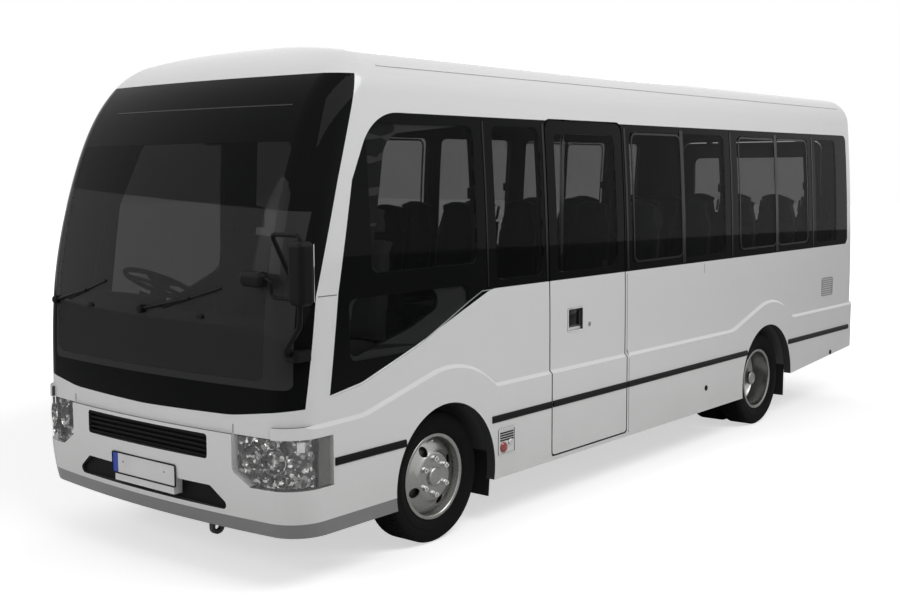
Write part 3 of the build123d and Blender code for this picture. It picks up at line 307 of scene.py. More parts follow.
lining_group, entrance, way_out = start_group("facing_the_cabin", [], [("Mask", NUMBER, None)])
point, parts = object_point(lining_group)
axis_point = lining_group.nodes.new("ShaderNodeCombineXYZ")
for axis, (low, high) in (("Y", CABIN_Y), ("Z", CABIN_Z)):
    held = lining_group.nodes.new("ShaderNodeClamp")
    held.inputs["Min"].default_value = low
    held.inputs["Max"].default_value = high
    lining_group.links.new(parts[axis], held.inputs["Value"])
    lining_group.links.new(held.outputs[0], axis_point.inputs[axis])
outward = lining_group.nodes.new("ShaderNodeVectorMath")
outward.operation = "SUBTRACT"
lining_group.links.new(point, outward.inputs[0])
lining_group.links.new(axis_point.outputs[0], outward.inputs[1])
facing = lining_group.nodes.new("ShaderNodeVectorMath")
facing.operation = "DOT_PRODUCT"
normal = lining_group.nodes.new("ShaderNodeNewGeometry").outputs["True Normal"]
lining_group.links.new(outward.outputs[0], facing.inputs[0])
lining_group.links.new(normal, facing.inputs[1])
inward = math_node(lining_group, "LESS_THAN", facing.outputs["Value"], OUTWARD_LEAST)

# %% [markdown]
# The ledge that a side pane is bonded to faces outwards too, yet it is black with adhesive. It lies a little
# under the skin, whose half width falls with height along a shallow curve, so the distance tells them apart.

# %% Ledges behind the glass
SKIN_WIDEST = 1.0214
SKIN_WIDEST_Z = 1.026
SKIN_BEND = 0.0316
LEDGE_DEPTH = 0.006
LEDGE_Y = (-3.06, 3.11)
LEDGE_Z = (1.05, 2.365)
# The front end of the ledges leans back with the pillar: its y at z 0, and its slope
PILLAR_LEAN = (-3.565, 0.35)
PILLAR_TOP_Y = -2.9

rise = math_node(lining_group, "SUBTRACT", parts["Z"], SKIN_WIDEST_Z)
square = math_node(lining_group, "MULTIPLY", rise, rise)
bend = math_node(lining_group, "MULTIPLY", square, SKIN_BEND)
limit = math_node(lining_group, "SUBTRACT", SKIN_WIDEST - LEDGE_DEPTH, bend)
half_width = math_node(lining_group, "ABSOLUTE", parts["X"])
ledge = math_node(lining_group, "LESS_THAN", half_width, limit)
for axis, (low, high) in (("Y", LEDGE_Y), ("Z", LEDGE_Z)):
    for operation, value in (("GREATER_THAN", low), ("LESS_THAN", high)):
        inside = math_node(lining_group, operation, parts[axis], value)
        ledge = math_node(lining_group, "MULTIPLY", ledge, inside)
lean = math_node(lining_group, "MULTIPLY", parts["Z"], PILLAR_LEAN[1])
lean = math_node(lining_group, "ADD", lean, PILLAR_LEAN[0])
lean = math_node(lining_group, "MINIMUM", lean, PILLAR_TOP_Y)
behind = math_node(lining_group, "GREATER_THAN", parts["Y"], lean)
ledge = math_node(lining_group, "MULTIPLY", ledge, behind)
lining_group.links.new(math_node(lining_group, "MAXIMUM", inward, ledge), way_out.inputs["Mask"])

# %% [markdown]
# Bonded glass is black round its edge, where a fired band hides the frame. The band's inner outline is a
# rounded rectangle for each opening, so one group gives the mask of one opening.

# %% Opening in a glass band
opening_group, entrance, way_out = start_group(
    "glass_opening",
    [("Across", NUMBER, 0.0), ("Low", NUMBER, 0.0), ("High", NUMBER, 1.0), ("Bottom", NUMBER, 0.0),
     ("Top", NUMBER, 1.0), ("Up", NUMBER, 0.0), ("Corner", NUMBER, 0.05)],
    [("Mask", NUMBER, None)],
)


def overshoot(group, value, low, high, corner):
    """How far value is past the span from low to high, after the span is drawn in by corner."""
    before = math_node(group, "SUBTRACT", math_node(group, "ADD", low, corner), value)
    after = math_node(group, "SUBTRACT", value, math_node(group, "SUBTRACT", high, corner))
    return math_node(group, "MAXIMUM", math_node(group, "MAXIMUM", before, after), 0.0)


given = entrance.outputs
corner = given["Corner"]
squares = []
for value, low, high in (("Across", "Low", "High"), ("Up", "Bottom", "Top")):
    past = overshoot(opening_group, given[value], given[low], given[high], corner)
    squares.append(math_node(opening_group, "MULTIPLY", past, past))
distance = math_node(opening_group, "SQRT", math_node(opening_group, "ADD", *squares))
opening_group.links.new(math_node(opening_group, "LESS_THAN", distance, corner), way_out.inputs["Mask"])

# %% [markdown]
# Seat cloth is a plain weave: two waves at right angles, each on top in turn.

# %% Weave
weave_group, entrance, way_out = start_group(
    "weave",
    [("Threads", NUMBER, 500.0)],
    [("Height", NUMBER, None)],
)
point, parts = object_point(weave_group)
threads = entrance.outputs["Threads"]
level = math_node(weave_group, "ADD", parts["X"], parts["Y"])
rows = math_node(weave_group, "SINE", math_node(weave_group, "MULTIPLY", level, threads))
columns = math_node(weave_group, "SINE", math_node(weave_group, "MULTIPLY", parts["Z"], threads))
weave_group.links.new(math_node(weave_group, "MULTIPLY", rows, columns), way_out.inputs["Height"])


# %% [markdown]
# A few helpers keep the recipes short: one starts a Principled material, one places a node group in it, one
# feeds a height to the normal, and two mix colours or numbers by a mask.

# %% Helpers for materials
def start_material(name, colour, roughness, metallic=0.0):
    """Material with a Principled shader of one colour; returns the material, its tree and the shader."""
    material = bpy.data.materials.new(name)
    material.use_nodes = True
    tree = material.node_tree
    shader = tree.nodes["Principled BSDF"]
    shader.inputs["Base Color"].default_value = (*colour, 1)
    shader.inputs["Roughness"].default_value = roughness
    shader.inputs["Metallic"].default_value = metallic
    return material, tree, shader


def place_group(tree, group, **values):
    """A node group in a material's tree, with its inputs set."""
    made = tree.nodes.new("ShaderNodeGroup")
    made.node_tree = group
    for label, value in values.items():
        made.inputs[label].default_value = value
    return made


def bump(tree, shader, height, distance, strength=1.0):
    """Feed a height to the shader's normal."""
    made = tree.nodes.new("ShaderNodeBump")
    made.inputs["Strength"].default_value = strength
    made.inputs["Distance"].default_value = distance
    tree.links.new(height, made.inputs["Height"])
    tree.links.new(made.outputs["Normal"], shader.inputs["Normal"])


def mix_colours(tree, factor, first, second):
    """Mix two colours, each a socket or three numbers."""
    made = tree.nodes.new("ShaderNodeMix")
    made.data_type = "RGBA"
    tree.links.new(factor, made.inputs["Factor"])
    for label, value in (("A", first), ("B", second)):
        socket = next(s for s in made.inputs if s.name == label and s.type == "RGBA")
        if isinstance(value, tuple):
            socket.default_value = (*value, 1)
        else:
            tree.links.new(value, socket)
    return next(s for s in made.outputs if s.type == "RGBA")


def mix_values(tree, factor, first, second):
    """Mix two numbers by a mask."""
    made = tree.nodes.new("ShaderNodeMix")
    made.data_type = "FLOAT"
    tree.links.new(factor, made.inputs["Factor"])
    made.inputs["A"].default_value = first
    made.inputs["B"].default_value = second
    return made.outputs["Result"]


# %% [markdown]
# ### Paint
# White two-layer paint: a bright base, a clear coat, and a faint unevenness that breaks long reflections.
# Inside, the same panels are lined with a dark grained plastic.

# %% Paint
PAINT_WHITE = (0.80, 0.805, 0.80)
ROAD_DUST = (0.46, 0.44, 0.41)
LINING_GREY = (0.030, 0.031, 0.032)
FOOT_SHADE_GREY = (0.20, 0.20, 0.20)
# Painted shade along the front's foot: the paint turns grey below this height and ahead of this y
FOOT_SHADE_TOP = 0.345
FOOT_SHADE_REAR_Y = -2.6


def make_paint(name, colour):
    """Clear-coated paint outside, dark lining inside, and painted shade in grey along the front's foot."""
    material, tree, shader = start_material(name, colour, 0.35)
    shader.inputs["Coat Weight"].default_value = 0.8
    shader.inputs["Coat Roughness"].default_value = 0.06
    film = place_group(tree, film_group, Top=0.75, Amount=0.45)
    lining = place_group(tree, lining_group)
    point, parts = object_point(tree)
    # Painted shade: the lowest band of the front, which faces down, is mixed to grey
    below = math_node(tree, "LESS_THAN", parts["Z"], FOOT_SHADE_TOP)
    ahead = math_node(tree, "LESS_THAN", parts["Y"], FOOT_SHADE_REAR_Y)
    dusty = mix_colours(tree, film.outputs["Mask"], colour, ROAD_DUST)
    foot_shaded = mix_colours(tree, math_node(tree, "MULTIPLY", below, ahead), dusty, FOOT_SHADE_GREY)
    lined = mix_colours(tree, lining.outputs["Mask"], foot_shaded, LINING_GREY)
    tree.links.new(lined, shader.inputs["Base Color"])
    tree.links.new(mix_values(tree, lining.outputs["Mask"], 0.32, 0.75), shader.inputs["Roughness"])
    grain = place_group(tree, grain_group, Scale=60.0, Amount=1.0)
    bump(tree, shader, grain.outputs["Height"], 0.00012, 0.35)
    return material


body_paint = make_paint("body_paint", PAINT_WHITE)

# %% [markdown]
# ### Plastics, rubber and metals
# Moulded parts share one recipe: a colour, a grain whose size and depth say what the part is,
# and a little road film on whatever is low down.

# %% Plain finishes
def make_finish(name, colour, roughness, metallic=0.0, grain=300.0, depth=0.0001, film=0.0, dust=ROAD_DUST,
                coat=0.0, shine=0.5):
    """A finish from one recipe: colour, grain of a given scale and depth, and road film."""
    material, tree, shader = start_material(name, colour, roughness, metallic)
    shader.inputs["Specular IOR Level"].default_value = shine
    noise = place_group(tree, grain_group, Scale=grain, Amount=1.0)
    bump(tree, shader, noise.outputs["Height"], depth, 0.6)
    spread = place_group(tree, grain_group, Scale=9.0, Amount=0.5)
    low = tuple(c * 0.8 for c in colour)
    high = tuple(min(1.0, c * 1.18) for c in colour)
    varied = mix_colours(tree, spread.outputs["Value"], low, high)
    if film:
        mask = place_group(tree, film_group, Top=1.0, Amount=film)
        varied = mix_colours(tree, mask.outputs["Mask"], varied, dust)
    tree.links.new(varied, shader.inputs["Base Color"])
    rough = mix_values(tree, noise.outputs["Value"], roughness * 0.85, min(1.0, roughness * 1.15))
    tree.links.new(rough, shader.inputs["Roughness"])
    shader.inputs["Coat Weight"].default_value = coat
    return material


trim_black = make_finish("trim_black", (0.006, 0.006, 0.0065), 0.45, grain=900, depth=0.0001, shine=0.1)
gloss_black = make_finish("gloss_black", (0.005, 0.005, 0.0055), 0.15, grain=200, depth=0.00002, shine=0.2)
tyre_rubber = make_finish("tyre_rubber", (0.0065, 0.0065, 0.007), 0.78, grain=700, depth=0.0002, film=0.08,
                          dust=(0.06, 0.058, 0.055), shine=0.08)
flap_rubber = make_finish("flap_rubber", (0.014, 0.014, 0.015), 0.7, grain=500, depth=0.0002, film=0.12,
                          dust=(0.10, 0.095, 0.09), shine=0.2)
rim_silver = make_finish("rim_silver", (0.34, 0.34, 0.33), 0.27, metallic=0.95, grain=500, depth=0.00005,
                         film=0.2)
chassis_black = make_finish("chassis_black", (0.018, 0.018, 0.019), 0.5, grain=250, depth=0.0003, film=0.5,
                            dust=(0.13, 0.12, 0.11))
cast_metal = make_finish("cast_metal", (0.075, 0.073, 0.07), 0.6, metallic=0.7, grain=350, depth=0.0006,
                         film=0.4, dust=(0.16, 0.14, 0.12))
plain_steel = make_finish("plain_steel", (0.34, 0.33, 0.32), 0.42, metallic=0.9, grain=260, depth=0.0002,
                          film=0.35)
chrome = make_finish("chrome", (0.80, 0.81, 0.82), 0.08, metallic=1.0, grain=120, depth=0.00001)
floor_vinyl = make_finish("floor_vinyl", (0.09, 0.09, 0.092), 0.6, grain=800, depth=0.0003)
dash_plastic = make_finish("dash_plastic", (0.115, 0.115, 0.115), 0.55, grain=1100, depth=0.0002)
plate_white = make_finish("plate_white", (0.78, 0.78, 0.78), 0.35, grain=200, depth=0.00005)
trim_lining = make_finish("trim_lining", (0.10, 0.10, 0.098), 0.7, grain=700, depth=0.0003, shine=0.3)
band_grey = make_finish("band_grey", (0.035, 0.035, 0.036), 0.4, grain=300, depth=0.00005, shine=0.2)
joint_grey = make_finish("joint_grey", (0.16, 0.16, 0.165), 0.6, grain=300, depth=0.00005)
outlet_grey = make_finish("outlet_grey", (0.30, 0.30, 0.305), 0.5, grain=500, depth=0.0001)
plate_blue = make_finish("plate_blue", (0.02, 0.06, 0.42), 0.35, grain=200, depth=0.00005)


# %% [markdown]
# ### Seat cloth
# Dark woven cloth, a little lighter where the threads catch the light, with a soft sheen.

# %% Seat cloth
def make_cloth(name, dark, light):
    """Woven cloth that varies between a dark and a light tone."""
    material, tree, shader = start_material(name, dark, 0.9)
    weave = place_group(tree, weave_group, Threads=1400.0)
    spread = place_group(tree, grain_group, Scale=25.0, Amount=0.9)
    shaded = mix_colours(tree, spread.outputs["Value"], dark, light)
    tree.links.new(shaded, shader.inputs["Base Color"])
    shader.inputs["Sheen Weight"].default_value = 0.35
    shader.inputs["Sheen Roughness"].default_value = 0.5
    bump(tree, shader, weave.outputs["Height"], 0.0006, 0.5)
    return material


seat_cloth = make_cloth("seat_cloth", (0.028, 0.029, 0.032), (0.06, 0.062, 0.066))
front_cloth = make_cloth("front_cloth", (0.16, 0.16, 0.165), (0.26, 0.26, 0.265))
seat_shell = make_finish("seat_shell", (0.03, 0.03, 0.032), 0.55, grain=900, depth=0.0002, shine=0.3)

# %% [markdown]
# ### Glass
# The glazing is privacy glass: a ray meets both faces of a pane, and about a quarter of its light comes
# through. Alpha carries the tint, so the cabin still gets light, and a mask of the openings makes the fired
# band solid black. The windscreen's lower part is painted a paler grey, a painted reflection, and it meets
# the dark top along a slant, above which the glass is less clear.

# %% Glass
GLASS_ALPHA = 0.48
SCREEN_ALPHA = 0.70
SHADE_ALPHA = 0.80
GLASS_SHINE = 0.045
GLASS_DARK = (0.003, 0.0035, 0.0035)
GLASS_LIGHT = (0.006, 0.0065, 0.006)

# Painted reflection on the windscreen's lower part: its paler grey, the slope of its upper edge, and its low
# x, high x, bottom and the height of that edge at x 0
PAINTED_REFLECTION_GREY = (0.038, 0.040, 0.038)
REFLECTION_EDGE_SLOPE = -0.055
SCREEN_PAINTED_REFLECTION = (-0.86, 0.98, 0.985, 1.865)
OPENING_BOTTOM = 1.395
OPENING_TOP = 2.245

# Each opening behind the glass: low and high end of its span along the glass, bottom, top
LEFT_OPENINGS = [
    (-2.85, -2.01, 1.50, 2.235),
    (-3.02, -2.10, 1.08, 1.385),
    (-1.84, -1.385, OPENING_BOTTOM, OPENING_TOP),
    (-1.24, -0.57, OPENING_BOTTOM, OPENING_TOP - 0.03),
    (-0.39, 0.93, OPENING_BOTTOM, OPENING_TOP),
    (1.14, 2.43, OPENING_BOTTOM, OPENING_TOP),
    (2.575, 3.01, OPENING_BOTTOM, OPENING_TOP),
]
RIGHT_OPENINGS = [
    (-3.05, -2.11, 1.09, 2.215),
    (-1.84, -1.10, OPENING_BOTTOM, OPENING_TOP),
    (-0.96, -0.11, OPENING_BOTTOM, OPENING_TOP),
    (0.03, 0.93, OPENING_BOTTOM, OPENING_TOP),
    (1.14, 2.43, OPENING_BOTTOM, OPENING_TOP),
    (2.575, 3.01, OPENING_BOTTOM, OPENING_TOP),
]
SCREEN_OPENINGS = [(-0.842, 0.842, 1.02, 2.140)]
TAILGATE_OPENINGS = [(-0.585, 0.585, 1.37, 2.11)]
PANE_CORNER = 0.045


def make_glass(name, alpha, openings, across, painted_reflection=None):
    """Tinted glass that is clear only in its openings; across is the coordinate that runs along it."""
    material, tree, shader = start_material(name, GLASS_DARK, 0.02)
    shader.inputs["Specular IOR Level"].default_value = GLASS_SHINE
    point, parts = object_point(tree)
    mask = None
    for low, high, bottom, top in openings:
        one = place_group(tree, opening_group, Low=low, High=high, Bottom=bottom, Top=top, Corner=PANE_CORNER)
        tree.links.new(parts[across], one.inputs["Across"])
        tree.links.new(parts["Z"], one.inputs["Up"])
        mask = one.outputs["Mask"] if mask is None else math_node(tree, "MAXIMUM", mask, one.outputs["Mask"])
    clear = mix_values(tree, mask, 1.0, alpha)
    cloud = place_group(tree, grain_group, Scale=2.0, Amount=0.8)
    tone = mix_colours(tree, cloud.outputs["Value"], GLASS_DARK, GLASS_LIGHT)
    # A painted reflection: below a slanting edge the windscreen's colour is mixed to a paler grey, and above
    # the edge the glass is less clear
    if painted_reflection:
        left_end, right_end, bottom, top = painted_reflection
        slope = math_node(tree, "ADD", math_node(tree, "MULTIPLY", parts["X"], REFLECTION_EDGE_SLOPE), top)
        low_down = math_node(tree, "LESS_THAN", parts["Z"], slope)
        # The rounded mask reaches past the slanting edge, which cuts it off
        pane = place_group(tree, opening_group, Low=left_end, High=right_end, Bottom=bottom, Top=top + 0.3,
                           Corner=0.03)
        tree.links.new(parts[across], pane.inputs["Across"])
        tree.links.new(parts["Z"], pane.inputs["Up"])
        tone = mix_colours(tree, math_node(tree, "MULTIPLY", low_down, pane.outputs["Mask"]), tone, PAINTED_REFLECTION_GREY)
        above = math_node(tree, "SUBTRACT", 1.0, low_down)
        shade = math_node(tree, "MULTIPLY", above, mix_values(tree, mask, 1.0, SHADE_ALPHA))
        clear = math_node(tree, "MAXIMUM", clear, shade)
    tree.links.new(clear, shader.inputs["Alpha"])
    tree.links.new(tone, shader.inputs["Base Color"])
    return material


left_glass = make_glass("left_glass", GLASS_ALPHA, LEFT_OPENINGS, "Y")
right_glass = make_glass("right_glass", GLASS_ALPHA, RIGHT_OPENINGS, "Y")
screen_glass = make_glass("screen_glass", SCREEN_ALPHA, SCREEN_OPENINGS, "X", SCREEN_PAINTED_REFLECTION)
tailgate_glass = make_glass("tailgate_glass", GLASS_ALPHA, TAILGATE_OPENINGS, "X")

# %% [markdown]
# ### Lamp plastics
# A lamp's cover is clear and nearly invisible, a rear lamp is red and ribbed inside, and the reflector behind
# a headlamp is chrome pressed into small flats, where a few random cells are painted bright as glints.

# %% Lamp plastics
COVER_CLEARANCE = 0.44

lamp_cover, tree, shader = start_material("lamp_cover", (0.92, 0.93, 0.94), 0.02)
shader.inputs["Specular IOR Level"].default_value = 0.5
ribs = place_group(tree, grain_group, Scale=90.0, Amount=0.1)
tree.links.new(math_node(tree, "SUBTRACT", ribs.outputs["Value"], COVER_CLEARANCE), shader.inputs["Alpha"])

lamp_red, tree, shader = start_material("lamp_red", (0.30, 0.008, 0.008), 0.12)
shader.inputs["Coat Weight"].default_value = 1.0
ridge = place_group(tree, grain_group, Scale=220.0, Amount=1.0)
bump(tree, shader, ridge.outputs["Height"], 0.0008, 0.5)
reds = mix_colours(tree, ridge.outputs["Value"], (0.22, 0.004, 0.004), (0.42, 0.015, 0.012))
tree.links.new(reds, shader.inputs["Base Color"])

# Painted glints: a few random cells of the chrome are coloured near white, the rest dark
lamp_mirror, tree, shader = start_material("lamp_mirror", (0.24, 0.24, 0.23), 0.14, 1.0)
cells = tree.nodes.new("ShaderNodeTexVoronoi")
cells.inputs["Scale"].default_value = 58
tree.links.new(object_point(tree)[0], cells.inputs["Vector"])
picked = tree.nodes.new("ShaderNodeSeparateColor")
tree.links.new(cells.outputs["Color"], picked.inputs[0])
painted_glint = math_node(tree, "POWER", picked.outputs["Red"], 4.0)
glinting_flats = mix_colours(tree, painted_glint, (0.055, 0.055, 0.052), (0.95, 0.95, 0.93))
tree.links.new(glinting_flats, shader.inputs["Base Color"])
lamp_grey = make_finish("lamp_grey", (0.10, 0.095, 0.088), 0.35, metallic=0.4, grain=200, depth=0.0002)
lamp_white = make_finish("lamp_white", (0.93, 0.93, 0.92), 0.2, grain=200, depth=0.0001, coat=0.5)
print("materials", len(bpy.data.materials))

# %% [markdown]
# ## Finishes for the model's own pieces
# A table gives every node its finish, so nothing is left with the plain colour that it came with.

# %% Give every node its finish
FINISHED_NODES = [
    (body_paint,
     "roof windscreen_frame front_panel left_side right_side rear_end front_bumper rear_bumper "
     "driver_door passenger_door tailgate"),
    (screen_glass, "windscreen"),
    (left_glass, "left_windows passenger_door_glass"),
    (right_glass, "right_windows driver_door_glass"),
    (tailgate_glass, "tailgate_glass"),
    (lamp_cover, "headlamps"),
    (lamp_red, "tail_lamps"),
    (seat_cloth, "left_seats right_seats rear_bench front_seats"),
    (floor_vinyl, "floor wheel_housings engine_cover entrance_steps"),
    (dash_plastic, "dashboard steering_wheel"),
    (chassis_black, "chassis_frame front_suspension fuel_tank"),
    (cast_metal, "rear_axle engine left_knuckle right_knuckle"),
    (plain_steel, "leaf_springs propeller_shaft exhaust passenger_door_arms"),
    (flap_rubber, "mud_flaps"),
    (plate_white, "number_plate"),
    (trim_black, "mirrors driver_mirror wipers grille"),
    (tyre_rubber, "front_left_tyre front_right_tyre rear_left_tyres rear_right_tyres"),
    (rim_silver, "front_left_rim front_right_rim rear_left_rims rear_right_rims"),
]
FINISHES = {node: finish for finish, names in FINISHED_NODES for node in names.split()}
for name, node in NODES.items():
    node.data.materials.clear()
    node.data.materials.append(FINISHES[name])
print("finished nodes", len(NODES))

# %% [markdown]
# ## Helpers for new pieces
# Every new piece starts as a bmesh. It gets one finish, faces that point outwards, smooth shading with sharp
# edges kept and a body that carries it. An edge with only one face means a hole, so the helper counts those
# too.

# %% Finish a piece
SHARP_ANGLE = math.radians(35)
MERGE_DISTANCE = 0.00002


def finish_piece(name, mesh, material, body, slot, sharp=SHARP_ANGLE):
    """Make the object of a finished bmesh and let it ride on a body."""
    bmesh.ops.remove_doubles(mesh, verts=mesh.verts, dist=MERGE_DISTANCE)
    bmesh.ops.recalc_face_normals(mesh, faces=mesh.faces)
    open_edges = sum(1 for edge in mesh.edges if len(edge.link_faces) != 2)
    data = bpy.data.meshes.new(name)
    mesh.to_mesh(data)
    mesh.free()
    data.shade_smooth()
    data.set_sharp_from_angle(angle=sharp)
    data.materials.append(material)
    piece = link_object(name, data)
    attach(piece, body)
    print(name, "faces", len(data.polygons), "open edges", open_edges)
    return piece


# %% [markdown]
# Most pieces are boxes with rounded edges, round bars and turned shapes. Each helper makes one from a bmesh
# operator in a part of its own, moves it into place and joins it to the piece.

# %% Rounded boxes, rods and turned shapes
AXES = {"X": (1, 0, 0), "Y": (0, 1, 0), "Z": (0, 0, 1)}


def bevel_edges(mesh, edges, radius, segments=2):
    """Round some edges."""
    bmesh.ops.bevel(
        mesh, geom=edges, offset=radius, offset_type="OFFSET", segments=segments,
        profile=0.5, material=-1, affect="EDGES", clamp_overlap=True,
    )


def add_box(mesh, low, high, radius=0.0, turn=None, segments=2):
    """Box between two corners, with rounded edges; turn is a matrix applied last."""
    size = Vector(high) - Vector(low)
    middle = (Vector(high) + Vector(low)) / 2
    part = bmesh.new()
    bmesh.ops.create_cube(part, size=1, matrix=Matrix.Translation(middle) @ Matrix.Diagonal((*size, 1)))
    if radius:
        bevel_edges(part, part.edges[:], radius, segments)
    if turn:
        bmesh.ops.transform(part, matrix=turn, verts=part.verts)
    join(mesh, part)


def join(mesh, part):
    """Add a part to a mesh and free it."""
    data = bpy.data.meshes.new("part")
    part.to_mesh(data)
    part.free()
    mesh.from_mesh(data)
    bpy.data.meshes.remove(data)


def along(start, end):
    """Matrix that takes Z to the line from start to end and the origin to its middle."""
    start = Vector(start)
    end = Vector(end)
    return Matrix.Translation((start + end) / 2) @ turned_to(end - start)


def add_rod(mesh, start, end, radius, sides=12, end_radius=None, rounding=0.0):
    """Round bar between two points; it may taper, and its ends may be rounded."""
    part = bmesh.new()
    bmesh.ops.create_cone(
        part, cap_ends=True, segments=sides, radius1=radius, radius2=end_radius or radius,
        depth=(Vector(end) - Vector(start)).length,
    )
    if rounding:
        rims = [edge for edge in part.edges if abs(edge.verts[0].co.z - edge.verts[1].co.z) < 1e-6]
        bevel_edges(part, rims, rounding)
    bmesh.ops.transform(part, matrix=along(start, end), verts=part.verts)
    join(mesh, part)


def turned_to(direction):
    """Matrix that takes Z to a direction."""
    return Vector(direction).to_track_quat("Z", "Y").to_matrix().to_4x4()


def tilted(place, degrees, axis="X"):
    """Matrix that turns about an axis and then moves to place."""
    return Matrix.Translation(place) @ Matrix.Rotation(math.radians(degrees), 4, axis)


def add_turned(mesh, profile, place, axis="X", steps=48, closed=False):
    """Spin a profile of (along the axis, radius) points round an axis through place: a letter or a matrix."""
    part = bmesh.new()
    points = [part.verts.new((0, radius, height)) for height, radius in profile]
    if closed:
        points.append(points[0])
    edges = [part.edges.new(pair) for pair in zip(points, points[1:])]
    bmesh.ops.spin(
        part, geom=part.verts[:] + edges, cent=(0, 0, 0), axis=(0, 0, 1), dvec=(0, 0, 0),
        angle=math.tau, steps=steps, use_merge=True, use_duplicate=False,
    )
    bmesh.ops.remove_doubles(part, verts=part.verts, dist=MERGE_DISTANCE)
    bmesh.ops.recalc_face_normals(part, faces=part.faces)
    turn = axis if isinstance(axis, Matrix) else turned_to(AXES[axis])
    bmesh.ops.transform(part, matrix=Matrix.Translation(place) @ turn, verts=part.verts)
    join(mesh, part)


def give_depth(mesh, shift):
    """Close a sheet: extrude its faces and move the new ones."""
    made = bmesh.ops.extrude_face_region(mesh, geom=mesh.faces[:])
    moved = [item for item in made["geom"] if isinstance(item, bmesh.types.BMVert)]
    bmesh.ops.translate(mesh, vec=shift, verts=moved)


def mirror_across(mesh):
    """Add the mirror image on the vehicle's other side."""
    bmesh.ops.mirror(
        mesh, geom=mesh.verts[:] + mesh.edges[:] + mesh.faces[:], axis="X", merge_dist=0.0,
        matrix=Matrix.Identity(4),
    )


# %% [markdown]
# ### Pieces that lie on the body
# Mouldings, seams and seals follow a curved skin. A ray cast from outside finds the skin, and the highest of
# a few neighbouring rays bridges the narrow gaps round the doors. A strip is a grid whose rows run along a
# path; each point is lifted off the skin, and extruding the grid inwards closes it.

# %% Find the skin
from mathutils.bvhtree import BVHTree

GAP_BRIDGE = 0.014
BRIDGE_SHIFTS = (0, GAP_BRIDGE, -GAP_BRIDGE)


def skin_of(*names):
    """Search tree over the faces of some nodes."""
    mesh = bmesh.new()
    for name in names:
        mesh.from_mesh(NODES[name].data)
    tree = BVHTree.FromBMesh(mesh)
    mesh.free()
    return tree


SHARED = ("windscreen_frame", "rear_end", "roof", "front_bumper", "headlamps", "windscreen", "tail_lamps",
          "rear_bumper")
SIDE_SKINS = {
    1: skin_of("left_side", "left_windows", "passenger_door", "passenger_door_glass", *SHARED),
    -1: skin_of("right_side", "right_windows", "driver_door", "driver_door_glass", *SHARED),
}
FRONT_SKIN = skin_of("front_panel", "front_bumper", "windscreen", "windscreen_frame", "headlamps", "grille")
REAR_SKIN = skin_of("rear_end", "tailgate", "tailgate_glass", "rear_bumper", "tail_lamps")
CHASSIS_SKIN = skin_of("chassis_frame")


def side_x(sign, y, z):
    """How far out the side's skin is at a height and a place along the vehicle."""
    reach = []
    for shift in BRIDGE_SHIFTS:
        hit = SIDE_SKINS[sign].ray_cast(Vector((sign * 3, y + shift, z)), Vector((-sign, 0, 0)))[0]
        if hit:
            reach.append(sign * hit.x)
    return max(reach)


def front_y(x, z):
    """Where the front's skin is, bridging narrow gaps."""
    hits = [FRONT_SKIN.ray_cast(Vector((x + s, -5, z)), Vector((0, 1, 0)))[0] for s in BRIDGE_SHIFTS]
    return min(hit.y for hit in hits if hit)


def rear_y(x, z):
    """Where the rear's skin is, bridging narrow gaps."""
    hits = [REAR_SKIN.ray_cast(Vector((x + s, 5, z)), Vector((0, -1, 0)))[0] for s in BRIDGE_SHIFTS]
    return max(hit.y for hit in hits if hit)


# %% Strips on a skin
def path_points(path, step):
    """Points every step along a path of (a, b) corners, with the direction of travel at each."""
    made = []
    for start, end in zip(path, path[1:]):
        start = Vector(start)
        run = Vector(end) - start
        count = max(1, round(run.length / step))
        made += [(start + run * i / count, run.normalized()) for i in range(count)]
    made.append((Vector(path[-1]), (Vector(path[-1]) - Vector(path[-2])).normalized()))
    return made


def add_strip(mesh, path, width, height, place, inward, step=0.06, sink=0.002, crown=0.0):
    """Strip along a path of (a, b) points; place(a, b, lift) gives the point of the skin."""
    stations = path_points(path, step)
    across = 4 if crown else 1
    part = bmesh.new()
    bmesh.ops.create_grid(part, x_segments=len(stations) - 1, y_segments=across, size=0.5)
    for vert in part.verts:
        middle, run = stations[round((vert.co.x + 0.5) * (len(stations) - 1))]
        side = Vector((-run.y, run.x)) * width * vert.co.y
        lift = height - crown * (2 * vert.co.y) ** 2
        vert.co = place(middle.x + side.x, middle.y + side.y, lift)
    give_depth(part, Vector(inward) * (height + sink))
    join(mesh, part)


def side_strip(mesh, sign, path, width, height, **more):
    """Strip along one side; its path is in y and z."""
    def place(y, z, lift):
        return Vector((sign * (side_x(sign, y, z) + lift), y, z))

    add_strip(mesh, path, width, height, place, (-sign, 0, 0), **more)


def front_strip(mesh, path, width, height, step):
    """Strip along the front; its path is in x and z."""
    def place(x, z, lift):
        return Vector((x, front_y(x, z) - lift, z))

    add_strip(mesh, path, width, height, place, (0, 1, 0), step)


def rear_strip(mesh, path, width, height, step):
    """Strip along the rear; its path is in x and z."""
    def place(x, z, lift):
        return Vector((x, rear_y(x, z) + lift, z))

    add_strip(mesh, path, width, height, place, (0, -1, 0), step)


def rounded_rectangle(a0, a1, b0, b1, radius, corner_steps=4):
    """Closed path round a rectangle with round corners."""
    made = []
    corners = [(a1 - radius, b1 - radius, 0), (a0 + radius, b1 - radius, 90),
               (a0 + radius, b0 + radius, 180), (a1 - radius, b0 + radius, 270)]
    for a, b, start in corners:
        for i in range(corner_steps + 1):
            angle = math.radians(start + 90 * i / corner_steps)
            made.append((a + radius * math.cos(angle), b + radius * math.sin(angle)))
    return made + made[:1]


print("skins ready; side at shoulder", round(side_x(1, -1.5, 0.7), 3))

# %% [markdown]
# ## Mouldings, seams and seals on the sides
# A black rubber moulding runs along each side at bumper height and stops at the wheel arches. It is cut
# where the doors begin, so that each door takes its own length with it.

